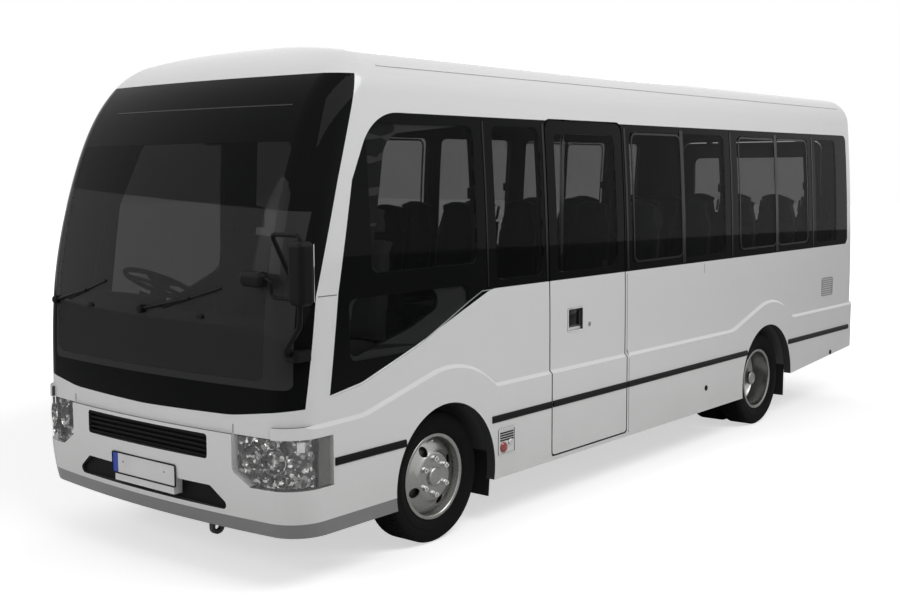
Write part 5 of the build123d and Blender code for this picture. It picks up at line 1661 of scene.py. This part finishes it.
CLOTH_ANGLE = math.radians(60)
LEFT_PLACES = [(x, y) for y in LEFT_ROW_Y for x in LEFT_SEAT_X]
RIGHT_PLACES = [(-x, y) for y in RIGHT_ROW_Y for x in LEFT_SEAT_X]
BENCH_PLACES = [(x, BENCH_Y) for x in BENCH_X]
FRONT_PLACES = [(x, FRONT_SEAT_Y) for x in FRONT_SEAT_X]


def set_down(name, data, places, offset, tilt, material, width=1.0):
    """Copies of a pad at every seat place, as one padded piece."""
    mesh = bmesh.new()
    for x, y in places:
        part = bmesh.new()
        part.from_mesh(data)
        matrix = Matrix.Translation(Vector((x, y, FLOOR_TOP)) + offset) @ Matrix.Rotation(-tilt, 4, "X")
        bmesh.ops.transform(part, matrix=matrix @ Matrix.Diagonal((width, 1, 1, 1)), verts=part.verts)
        join(mesh, part)
    piece = finish_piece(name, mesh, material, "body", "seat_fabric", sharp=CLOTH_ANGLE)
    return piece


# %% Set the pads down
# Node, places, width factor
SEAT_GROUPS = [("left_seats", LEFT_PLACES, 1.0), ("right_seats", RIGHT_PLACES, 1.0),
               ("rear_bench", BENCH_PLACES, 0.95)]
for node, places, width in SEAT_GROUPS:
    set_down(node + "_cushions", cushion, places, CUSHION_PLACE, 0, seat_cloth, width)
    backs = set_down(node + "_backs", back_pad, places, BACK_PLACE, SEAT_TILT, seat_cloth, width)
    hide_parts(node)

FRONT_BACK_PLACE = Vector((0, 0.470, 0.720))
HEAD_REST_PLACE = Vector((0, 0.535, 1.092))
set_down("front_seat_cushions", cushion, FRONT_PLACES, CUSHION_PLACE, 0, front_cloth, 1.05)
backs = set_down("front_seat_backs", front_back, FRONT_PLACES, FRONT_BACK_PLACE, SEAT_TILT, front_cloth)
set_down("front_head_rests", head_rest, FRONT_PLACES, HEAD_REST_PLACE, SEAT_TILT, front_cloth)
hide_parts("front_seats")

# %% Seat frames
TUBE = 0.014
FOOT_SPREAD = (0.08, 0.40)


def leaning(x, y, up, behind):
    """Point on the line of a leaning back, up from the floor and behind the pad's middle."""
    along_back = (up - BACK_PLACE.z) / math.cos(SEAT_TILT)
    return (x, y + BACK_PLACE.y + along_back * math.sin(SEAT_TILT) + behind, FLOOR_TOP + up)


def add_seat_frame(mesh, x, y, aisle):
    """Tray, feet, back shell and grab handle of one seat; aisle is the side that the aisle is on."""
    tray = FLOOR_TOP + 0.300
    add_box(mesh, (x - SEAT_HALF, y + 0.015, tray), (x + SEAT_HALF, y + 0.455, FLOOR_TOP + 0.330), 0.008)
    for foot in (y + spread for spread in FOOT_SPREAD):
        add_rod(mesh, (x, foot, FLOOR_TOP + 0.008), (x, foot, FLOOR_TOP + 0.305), TUBE, 10)
        add_box(mesh, (x - 0.05, foot - 0.028, FLOOR_TOP), (x + 0.05, foot + 0.028, FLOOR_TOP + 0.010), 0.003)
    for side in (-0.15, 0.15):
        foot = (x + side, y + 0.44, FLOOR_TOP + 0.315)
        add_rod(mesh, foot, leaning(x + side, y, 0.95, 0.030), TUBE * 0.8, 8)
    shell_turn = Matrix.Translation(leaning(x, y, 0.70, 0.046)) @ Matrix.Rotation(-SEAT_TILT, 4, "X")
    add_box(mesh, (-0.160, -0.006, -0.290), (0.160, 0.006, 0.270), 0.005, shell_turn)
    start = Vector(leaning(x + aisle * 0.155, y, 0.985, 0.020))
    end = Vector(leaning(x + aisle * 0.155, y, 1.085, 0.010))
    add_rod(mesh, start, end + Vector((0, 0.03, 0)), 0.010, 8, rounding=0.003)


for name, places in (("left", LEFT_PLACES), ("right", RIGHT_PLACES), ("bench", BENCH_PLACES)):
    mesh = bmesh.new()
    for x, y in places:
        add_seat_frame(mesh, x, y, -math.copysign(1, x))
    finish_piece(name + "_seat_frames", mesh, seat_shell, "body", "steel")

# %% Front seat bases
# The box bridges the wheel housing and stands on the floor inboard of it, on a narrower foot
HOUSING_CLEAR_Z = 0.840
PEDESTAL_X = (0.300, 0.462)
BASE_TOP = FLOOR_TOP + 0.325

mesh = bmesh.new()
for x, y in FRONT_PLACES:
    add_box(mesh, (x - 0.20, y + 0.02, HOUSING_CLEAR_Z), (x + 0.20, y + 0.45, BASE_TOP), 0.02)
    inboard, outboard = sorted(math.copysign(reach, x) for reach in PEDESTAL_X)
    add_box(mesh, (inboard, y + 0.04, FLOOR_TOP), (outboard, y + 0.43, HOUSING_CLEAR_Z + 0.03), 0.01)
    for side in (-0.055, 0.055):
        add_rod(mesh, leaning(x + side, y, 0.96, -0.010), leaning(x + side, y, 1.06, -0.005), 0.006, 8)
    shell_turn = Matrix.Translation((x, y + 0.520, FLOOR_TOP + 0.70)) @ Matrix.Rotation(-SEAT_TILT, 4, "X")
    add_box(mesh, (-0.175, -0.006, -0.25), (0.175, 0.006, 0.24), 0.005, shell_turn)
finish_piece("front_seat_bases", mesh, seat_shell, "body", "steel")

# %% [markdown]
# ## Rims and brake drums
# Each rim is a barrel with a pressed disc in it. Both are spun, then a few large hand holes are cut through
# the disc with a Boolean modifier, because a hole across a curved disc has no edge to inset from. The
# modifier's result is kept as the mesh. Twin discs stand back to back, a small gap apart.

# %% Rims
RIM_STEPS = 96
RIM_HOLES = 4
RIM_HOLE_RADIUS = 0.028
RIM_HOLE_PITCH = 0.157
RIM_HOLE_START = math.radians(25)

# (along the axle, radius) of the barrel, of the front and rear discs and of the hubs
BARREL = [
    (-0.088, 0.2135), (-0.088, 0.2325), (-0.0865, 0.234), (-0.0835, 0.234), (-0.082, 0.2325), (-0.080, 0.224),
    (-0.076, 0.222), (0.076, 0.222), (0.080, 0.224), (0.082, 0.2325), (0.0835, 0.234), (0.0865, 0.234),
    (0.088, 0.2325), (0.088, 0.2180), (0.084, 0.2135), (0.060, 0.2110), (-0.060, 0.2110), (-0.084, 0.2135),
]
FRONT_DISC = [(0.030, 0.2145), (0.038, 0.210), (0.046, 0.200), (0.062, 0.168), (0.070, 0.150), (0.079, 0.134),
              (0.084, 0.129), (0.086, 0.122), (0.086, 0.045)]
REAR_DISC = [(-0.040, 0.2145), (-0.052, 0.210), (-0.064, 0.200), (-0.090, 0.165), (-0.102, 0.150),
             (-0.112, 0.134), (-0.116, 0.128), (-0.117, 0.122), (-0.117, 0.045)]
DISC_WALL = 0.009
TWIN_GAP = 0.0022
DRILL_REACH = (0.40, 0.99)
FRONT_HUB = [(0.0225, 0.0), (0.0225, 0.0252), (-0.045, 0.0252), (-0.045, 0.072), (0.070, 0.072),
             (0.074, 0.068), (0.074, 0.054), (0.098, 0.052), (0.103, 0.047), (0.104, 0.040),
             (0.102, 0.038), (0.102, 0.0)]
REAR_HUB = [(0.002, 0.0), (0.002, 0.0302), (-0.210, 0.0302), (-0.210, 0.092), (-0.024, 0.092),
            (-0.020, 0.088), (-0.020, 0.054), (0.044, 0.052), (0.049, 0.047), (0.050, 0.040),
            (0.048, 0.038), (0.048, 0.0)]


def disc_section(face):
    """Closed section of a disc: its outer face, then the same line set back by the wall."""
    return face + [(x - DISC_WALL, radius) for x, radius in reversed(face)]


def add_wheel_part(mesh, profile, sign, x, axle_y, steps=RIM_STEPS, closed=True):
    """Spin a profile round an axle; on the right side it is turned about, so outwards stays outwards."""
    outwards = [(sign * along_axle, radius) for along_axle, radius in profile]
    add_turned(mesh, outwards, (sign * x, axle_y, TYRE_RADIUS), "X", steps, closed=closed)


def cut_holes(name, mesh, sign, axle_y):
    """Cut the hand holes through every disc along the axle; returns a bmesh."""
    data = bpy.data.meshes.new(name)
    mesh.to_mesh(data)
    mesh.free()
    piece = link_object(name, data)
    drills = bmesh.new()
    start, end = sorted(sign * reach for reach in DRILL_REACH)
    for i in range(RIM_HOLES):
        angle = RIM_HOLE_START + math.tau * i / RIM_HOLES
        y = axle_y + RIM_HOLE_PITCH * math.cos(angle)
        z = TYRE_RADIUS + RIM_HOLE_PITCH * math.sin(angle)
        add_rod(drills, (start, y, z), (end, y, z), RIM_HOLE_RADIUS, 28)
    drill_data = bpy.data.meshes.new(name + "_drills")
    drills.to_mesh(drill_data)
    drills.free()
    drill = link_object(name + "_drills", drill_data)
    cut = piece.modifiers.new("hand_holes", "BOOLEAN")
    cut.object = drill
    cut.solver = "EXACT"
    result = evaluated_copy(piece)
    made = bmesh.new()
    made.from_mesh(result)
    for item in (piece, drill):
        bpy.data.objects.remove(item)
    for item in (data, drill_data, result):
        bpy.data.meshes.remove(item)
    return made


# (middle x, outer face of the disc, which way it faces) of each wheel on a front and on a rear hub
FRONT_WHEEL = [(FRONT_WHEEL_X, FRONT_DISC, 1)]
TWIN_WHEELS = [(TWIN_WHEEL_X[1], REAR_DISC, 1), (TWIN_WHEEL_X[0], REAR_DISC, -1)]

# Rim node, body, side, axle y, wheels, hub
RIMS = [
    ("front_left_rim", "front_left_wheel", 1, FRONT_AXLE_Y, FRONT_WHEEL, FRONT_HUB),
    ("front_right_rim", "front_right_wheel", -1, FRONT_AXLE_Y, FRONT_WHEEL, FRONT_HUB),
    ("rear_left_rims", "rear_left_wheels", 1, REAR_AXLE_Y, TWIN_WHEELS, REAR_HUB),
    ("rear_right_rims", "rear_right_wheels", -1, REAR_AXLE_Y, TWIN_WHEELS, REAR_HUB),
]
for node, body, sign, axle_y, wheels, hub in RIMS:
    discs = bmesh.new()
    barrels = bmesh.new()
    for middle, face, facing in wheels:
        turned = [(x if facing > 0 else -x - TWIN_GAP, radius) for x, radius in disc_section(face)]
        add_wheel_part(discs, turned, sign, middle, axle_y)
        add_wheel_part(barrels, BARREL, sign, middle, axle_y)
    mesh = cut_holes(node + "_discs", discs, sign, axle_y)
    join(mesh, barrels)
    add_wheel_part(mesh, hub, sign, wheels[0][0], axle_y, 48, closed=False)
    rim = finish_piece(node + "_pressed", mesh, rim_silver, body, "rim_silver")
    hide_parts(node)

# %% [markdown]
# A drum is a cast pot with cooling ribs. It fills the wheel behind the disc, so the hand holes look into the
# dark. Its section is spun like the rim's.

# %% Brake drums
FRONT_DRUM = [(-0.044, 0.060), (-0.044, 0.184), (-0.040, 0.188), (-0.022, 0.188), (-0.020, 0.182),
              (-0.004, 0.182), (-0.002, 0.188), (0.020, 0.188), (0.026, 0.184), (0.046, 0.146),
              (0.048, 0.140), (0.048, 0.060)]
TWIN_DRUM = [(-0.064, 0.085), (-0.064, 0.184), (-0.060, 0.188), (-0.030, 0.188), (-0.028, 0.182),
             (0.004, 0.182), (0.006, 0.188), (0.036, 0.188), (0.042, 0.184), (0.074, 0.150),
             (0.076, 0.144), (0.076, 0.085)]

for node, body, sign, axle_y, wheels, hub in RIMS:
    mesh = bmesh.new()
    drum = FRONT_DRUM if hub is FRONT_HUB else TWIN_DRUM
    add_wheel_part(mesh, drum, sign, wheels[-1][0], axle_y, 64)
    finish_piece(body + "_drum", mesh, chassis_black, body, "steel")

# %% [markdown]
# ## Cabin fittings
# Little of the cabin is lit, yet it shows through the glass: the instrument panel under its hood, the centre
# console, the wheel's pad and column switches, sun visors, a mirror, grab rails and ceiling lamps.

# %% Instruments and console
DRIVER_X = -0.485
DASH_FACE_Y = -3.115

mesh = bmesh.new()
add_box(mesh, (DRIVER_X - 0.185, DASH_FACE_Y - 0.030, 1.205),
        (DRIVER_X + 0.185, DASH_FACE_Y + 0.006, 1.318), 0.010)
add_box(mesh, (-0.145, DASH_FACE_Y - 0.030, 1.090), (0.145, DASH_FACE_Y + 0.014, 1.245), 0.012)
finish_piece("instrument_panels", mesh, gloss_black, "body", "dash_plastic")

# %% Dials and knobs
DIAL_SPREAD = 0.095
KNOB_SPREAD = 0.06
MIDDLE_DIAL_SIZE = 0.72
DIAL_PROFILE = [(-0.004, 0.0), (-0.004, 0.041), (0.004, 0.041), (0.006, 0.038), (0.003, 0.035), (0.002, 0.0)]
KNOB_PROFILE = [(0.0, 0.0), (0.0, 0.014), (0.014, 0.012), (0.016, 0.010), (0.016, 0.0)]

mesh = bmesh.new()
for i in (-1, 0, 1):
    size = 1.0 if i else MIDDLE_DIAL_SIZE
    profile = [(a, r * size) for a, r in DIAL_PROFILE]
    add_turned(mesh, profile, (DRIVER_X + i * DIAL_SPREAD, DASH_FACE_Y + 0.008, 1.265), "Y", 32)
for i in (-1, 0, 1):
    add_turned(mesh, KNOB_PROFILE, (i * KNOB_SPREAD, DASH_FACE_Y + 0.012, 1.125), "Y", 20)
finish_piece("dials_and_knobs", mesh, plain_steel, "body", "steel")

# %% Vents
VENT_SLATS = 5
VENT_PITCH = 0.0135

mesh = bmesh.new()
for x in (-0.86, -0.235, 0.235, 0.55, 0.86):
    add_box(mesh, (x - 0.062, DASH_FACE_Y - 0.015, 1.165), (x + 0.062, DASH_FACE_Y + 0.008, 1.240), 0.006)
    for i in range(VENT_SLATS):
        z = 1.176 + i * VENT_PITCH
        add_box(mesh, (x - 0.052, DASH_FACE_Y + 0.006, z), (x + 0.052, DASH_FACE_Y + 0.014, z + 0.004), 0.001)
finish_piece("dash_vents", mesh, trim_black, "body", "dash_plastic")

# %% [markdown]
# The steering wheel itself is a piece of the model. It gets a pad on its hub, which turns with it, and two
# switch stalks on the column, which don't. Pedals and the gear lever are bars with a block or a knob.

# %% Steering wheel pad and column switches
WHEEL_HUB = (DRIVER_X, -2.985, 1.370)
WHEEL_TILT = -28
wheel_turn = tilted(WHEEL_HUB, WHEEL_TILT)

mesh = bmesh.new()
add_box(mesh, (-0.075, -0.055, 0.012), (0.075, 0.055, 0.040), 0.014, wheel_turn, 3)
finish_piece("steering_wheel_pad", mesh, trim_black, "steering_wheel", "dash_plastic")

mesh = bmesh.new()
for side in (-1, 1):
    start = wheel_turn @ Vector((side * 0.03, 0, -0.075))
    end = wheel_turn @ Vector((side * 0.165, 0.01, -0.055))
    add_rod(mesh, start, end, 0.006, 10, 0.009, 0.002)
finish_piece("column_switches", mesh, trim_black, "body", "dash_plastic")

# %% Pedals and levers
mesh = bmesh.new()
for x in (-0.62, -0.50, -0.38):
    add_rod(mesh, (x, -3.235, 0.90), (x, -3.165, 0.745), 0.008, 8)
    add_box(mesh, (x - 0.035, -3.185, 0.700), (x + 0.035, -3.165, 0.765), 0.006)
finish_piece("pedals", mesh, chassis_black, "body", "steel")

LEVER_KNOB = [(-0.03, 0.0), (-0.03, 0.014), (0.0, 0.026), (0.024, 0.020), (0.034, 0.0)]
mesh = bmesh.new()
add_rod(mesh, (-0.12, -2.72, 0.925), (-0.15, -2.66, 1.165), 0.009, 12)
add_turned(mesh, LEVER_KNOB, (-0.152, -2.655, 1.185), "Z", 20)
finish_piece("gear_lever", mesh, trim_black, "body", "dash_plastic")

# %% [markdown]
# A sun visor is a padded board under the top of the screen, one on each side. The mirror hangs between them
# on a short stalk.

# %% Sun visors and inside mirror
VISOR_X = 0.48
VISOR_TILT = -28
MIRROR_TILT = 12

mesh = bmesh.new()
for x in (-VISOR_X, VISOR_X):
    visor_turn = tilted((x, -2.985, 2.245), VISOR_TILT)
    add_box(mesh, (-0.27, -0.010, -0.075), (0.27, 0.010, 0.075), 0.008, visor_turn)
finish_piece("sun_visors", mesh, trim_lining, "body", "dash_plastic")

mesh = bmesh.new()
mirror_turn = tilted((0.0, -2.93, 2.175), MIRROR_TILT)
add_box(mesh, (-0.13, -0.012, -0.036), (0.13, 0.012, 0.036), 0.010, mirror_turn)
add_rod(mesh, (0.0, -2.94, 2.19), (0.0, -2.97, 2.30), 0.007, 10)
finish_piece("inside_mirror", mesh, trim_black, "body", "dash_plastic")

# %% [markdown]
# Rails run under the ceiling on both sides of the aisle, held by short posts, with lamps along the middle. An
# upright rail, a level one and a low screen stand behind the entrance.

# %% Grab rails
RAIL_X = 0.30
RAIL_Z = 2.36
RAIL_Y = (-1.55, 2.55)
POSTS = 6
RAIL_RADIUS = 0.0145
SCREEN_Y = -0.445
SCREEN_POST_X = 0.50

mesh = bmesh.new()
for side in (-1, 1):
    start, end = ((side * RAIL_X, y, RAIL_Z) for y in RAIL_Y)
    add_rod(mesh, start, end, RAIL_RADIUS, 12, rounding=0.004)
    for i in range(POSTS):
        y = RAIL_Y[0] + 0.05 + (RAIL_Y[1] - RAIL_Y[0] - 0.10) * i / (POSTS - 1)
        add_rod(mesh, (side * RAIL_X, y, RAIL_Z), (side * (RAIL_X + 0.03), y, RAIL_Z + 0.17), 0.009, 8)
add_rod(mesh, (SCREEN_POST_X, SCREEN_Y, 0.665), (SCREEN_POST_X, SCREEN_Y, 2.41), RAIL_RADIUS, 12)
add_rod(mesh, (SCREEN_POST_X, SCREEN_Y, 1.28), (0.93, SCREEN_Y, 1.28), RAIL_RADIUS, 12)
finish_piece("grab_rails", mesh, chrome, "body", "steel")

mesh = bmesh.new()
add_box(mesh, (0.515, -0.452, 0.72), (0.93, -0.438, 1.235), 0.005)
finish_piece("entrance_screen", mesh, trim_lining, "body", "dash_plastic")

# %% Ceiling lamps
mesh = bmesh.new()
for y in (-1.4, -0.2, 1.0, 2.2):
    add_box(mesh, (-0.055, y - 0.30, 2.545), (0.055, y + 0.30, 2.572), 0.010)
finish_piece("ceiling_lamps", mesh, lamp_white, "body", "lamp_clear")

# %% [markdown]
# ## Rear end
# The rear lamps are upright bars with ribs across them, two of which are white. The tailgate has a pull
# handle under its glass, a high stop lamp above it and a wiper, and two reflectors sit in the bumper.

# %% Ribs of the rear lamps
LAMP_RIBS = 9
WHITE_RIBS = (3, 4)
LAMP_X = (0.812, 0.965)
LAMP_Z = (0.815, 1.165)

mesh = bmesh.new()
white = bmesh.new()
for i in range(LAMP_RIBS):
    z = LAMP_Z[0] + (LAMP_Z[1] - LAMP_Z[0]) * (i + 0.5) / LAMP_RIBS
    target = white if i in WHITE_RIBS else mesh
    rear_strip(target, [(LAMP_X[0] + 0.01, z), (LAMP_X[1] - 0.01, z)], 0.030, 0.004, 0.02)
mirror_across(mesh)
mirror_across(white)
finish_piece("rear_lamp_ribs", mesh, lamp_red, "body", "lamp_red")
finish_piece("reversing_lamps", white, lamp_white, "body", "lamp_clear")

# %% Tailgate handle, stop lamp and reflectors
mesh = bmesh.new()
handle_y = rear_y(0.0, 1.20)
add_box(mesh, (-0.11, handle_y - 0.002, 1.165), (0.11, handle_y + 0.006, 1.235), 0.003)
add_box(mesh, (-0.085, handle_y + 0.004, 1.180), (0.085, handle_y + 0.016, 1.212), 0.005)
finish_piece("tailgate_handle", mesh, trim_black, "tailgate", "trim_black")

mesh = bmesh.new()
stop_y = rear_y(0.0, 2.205)
add_box(mesh, (-0.15, stop_y - 0.004, 2.190), (0.15, stop_y + 0.008, 2.220), 0.004)
finish_piece("stop_lamp", mesh, lamp_red, "tailgate", "lamp_red")

REFLECTOR_X = 0.80
mesh = bmesh.new()
for x in (-REFLECTOR_X, REFLECTOR_X):
    y = rear_y(x, 0.60)
    add_box(mesh, (x - 0.06, y - 0.004, 0.580), (x + 0.06, y + 0.006, 0.620), 0.003)
finish_piece("rear_reflectors", mesh, lamp_red, "body", "lamp_red")

# %% Rear wiper
PIVOT_Z = 1.385
PIVOT_CAP = [(-0.003, 0.0), (-0.003, 0.020), (0.014, 0.018), (0.020, 0.010), (0.020, 0.0)]

mesh = bmesh.new()
pivot_y = rear_y(0.0, PIVOT_Z)
add_turned(mesh, PIVOT_CAP, (0.0, pivot_y, PIVOT_Z), "Y", 24)
add_rod(mesh, (0.0, pivot_y + 0.014, PIVOT_Z), (0.30, rear_y(0.30, 1.42) + 0.014, 1.42), 0.006, 8, 0.004)
add_rod(mesh, (0.10, rear_y(0.10, 1.425) + 0.007, 1.425),
        (0.48, rear_y(0.48, 1.430) + 0.007, 1.430), 0.005, 8)
finish_piece("rear_wiper", mesh, trim_black, "tailgate", "trim_black")

# %% Joint under the roof's rear edge
ROOF_JOINT = [(-0.80, 2.395), (0.80, 2.395)]

mesh = bmesh.new()
rear_strip(mesh, ROOF_JOINT, THIN_JOINT, JOINT_HEIGHT, 0.08)
finish_piece("rear_joints", mesh, joint_grey, "body", "trim_black")

# %% [markdown]
# ## Right side
# The driver's door has a flap handle, and the fuel filler hides behind a square flap whose joint shows as a
# thin line.

# %% Driver's door handle and fuel flap
DRIVER_HANDLE_Y = (-2.250, -2.110)
DRIVER_HANDLE_Z = (1.000, 1.060)

mesh = bmesh.new()
handle_x = -(side_x(-1, -2.30, 1.03) - 0.010)
add_box(mesh, (handle_x - 0.006, DRIVER_HANDLE_Y[0] + 0.010, DRIVER_HANDLE_Z[0] + 0.014),
        (handle_x + 0.006, DRIVER_HANDLE_Y[1] - 0.010, DRIVER_HANDLE_Z[1] - 0.006), 0.004)
finish_piece("driver_handle", mesh, gloss_black, "driver_door", "trim_black")

mesh = bmesh.new()
flap = rounded_rectangle(-0.70, -0.48, 0.90, 1.10, 0.02)
side_strip(mesh, -1, flap, THIN_JOINT, JOINT_HEIGHT, step=0.05)
finish_piece("fuel_flap_joint", mesh, joint_grey, "body", "trim_black")

# %% [markdown]
# ## Underneath
# Bolts with six-sided heads fasten the cross members to the frame rails, in two rows along each rail. They
# are small, but they show when the vehicle is seen from below. A ray finds the rail's outer face for each.

# %% Frame bolts
BOLT_PROFILE = [(0.0, 0.0), (0.0, 0.012), (0.008, 0.012), (0.010, 0.009), (0.010, 0.0)]
frame_low, frame_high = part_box("chassis_frame")
BOLTS_PER_ROW = 12
BOLT_ROWS_Z = (0.500, 0.575)
ROW_MARGIN = 0.35

mesh = bmesh.new()
for side in (-1, 1):
    for i in range(BOLTS_PER_ROW):
        y = frame_low.y + ROW_MARGIN + (frame_high.y - frame_low.y - 2 * ROW_MARGIN) * i / (BOLTS_PER_ROW - 1)
        for z in BOLT_ROWS_Z:
            hit = CHASSIS_SKIN.ray_cast(Vector((side * 1.5, y, z)), Vector((-side, 0, 0)))[0]
            if hit:
                profile = [(side * a, r) for a, r in BOLT_PROFILE]
                add_turned(mesh, profile, hit, "X", 6)
finish_piece("frame_bolts", mesh, plain_steel, "body", "steel")

low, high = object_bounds()
print("visual box", [round(c, 3) for c in (*low, *high)])
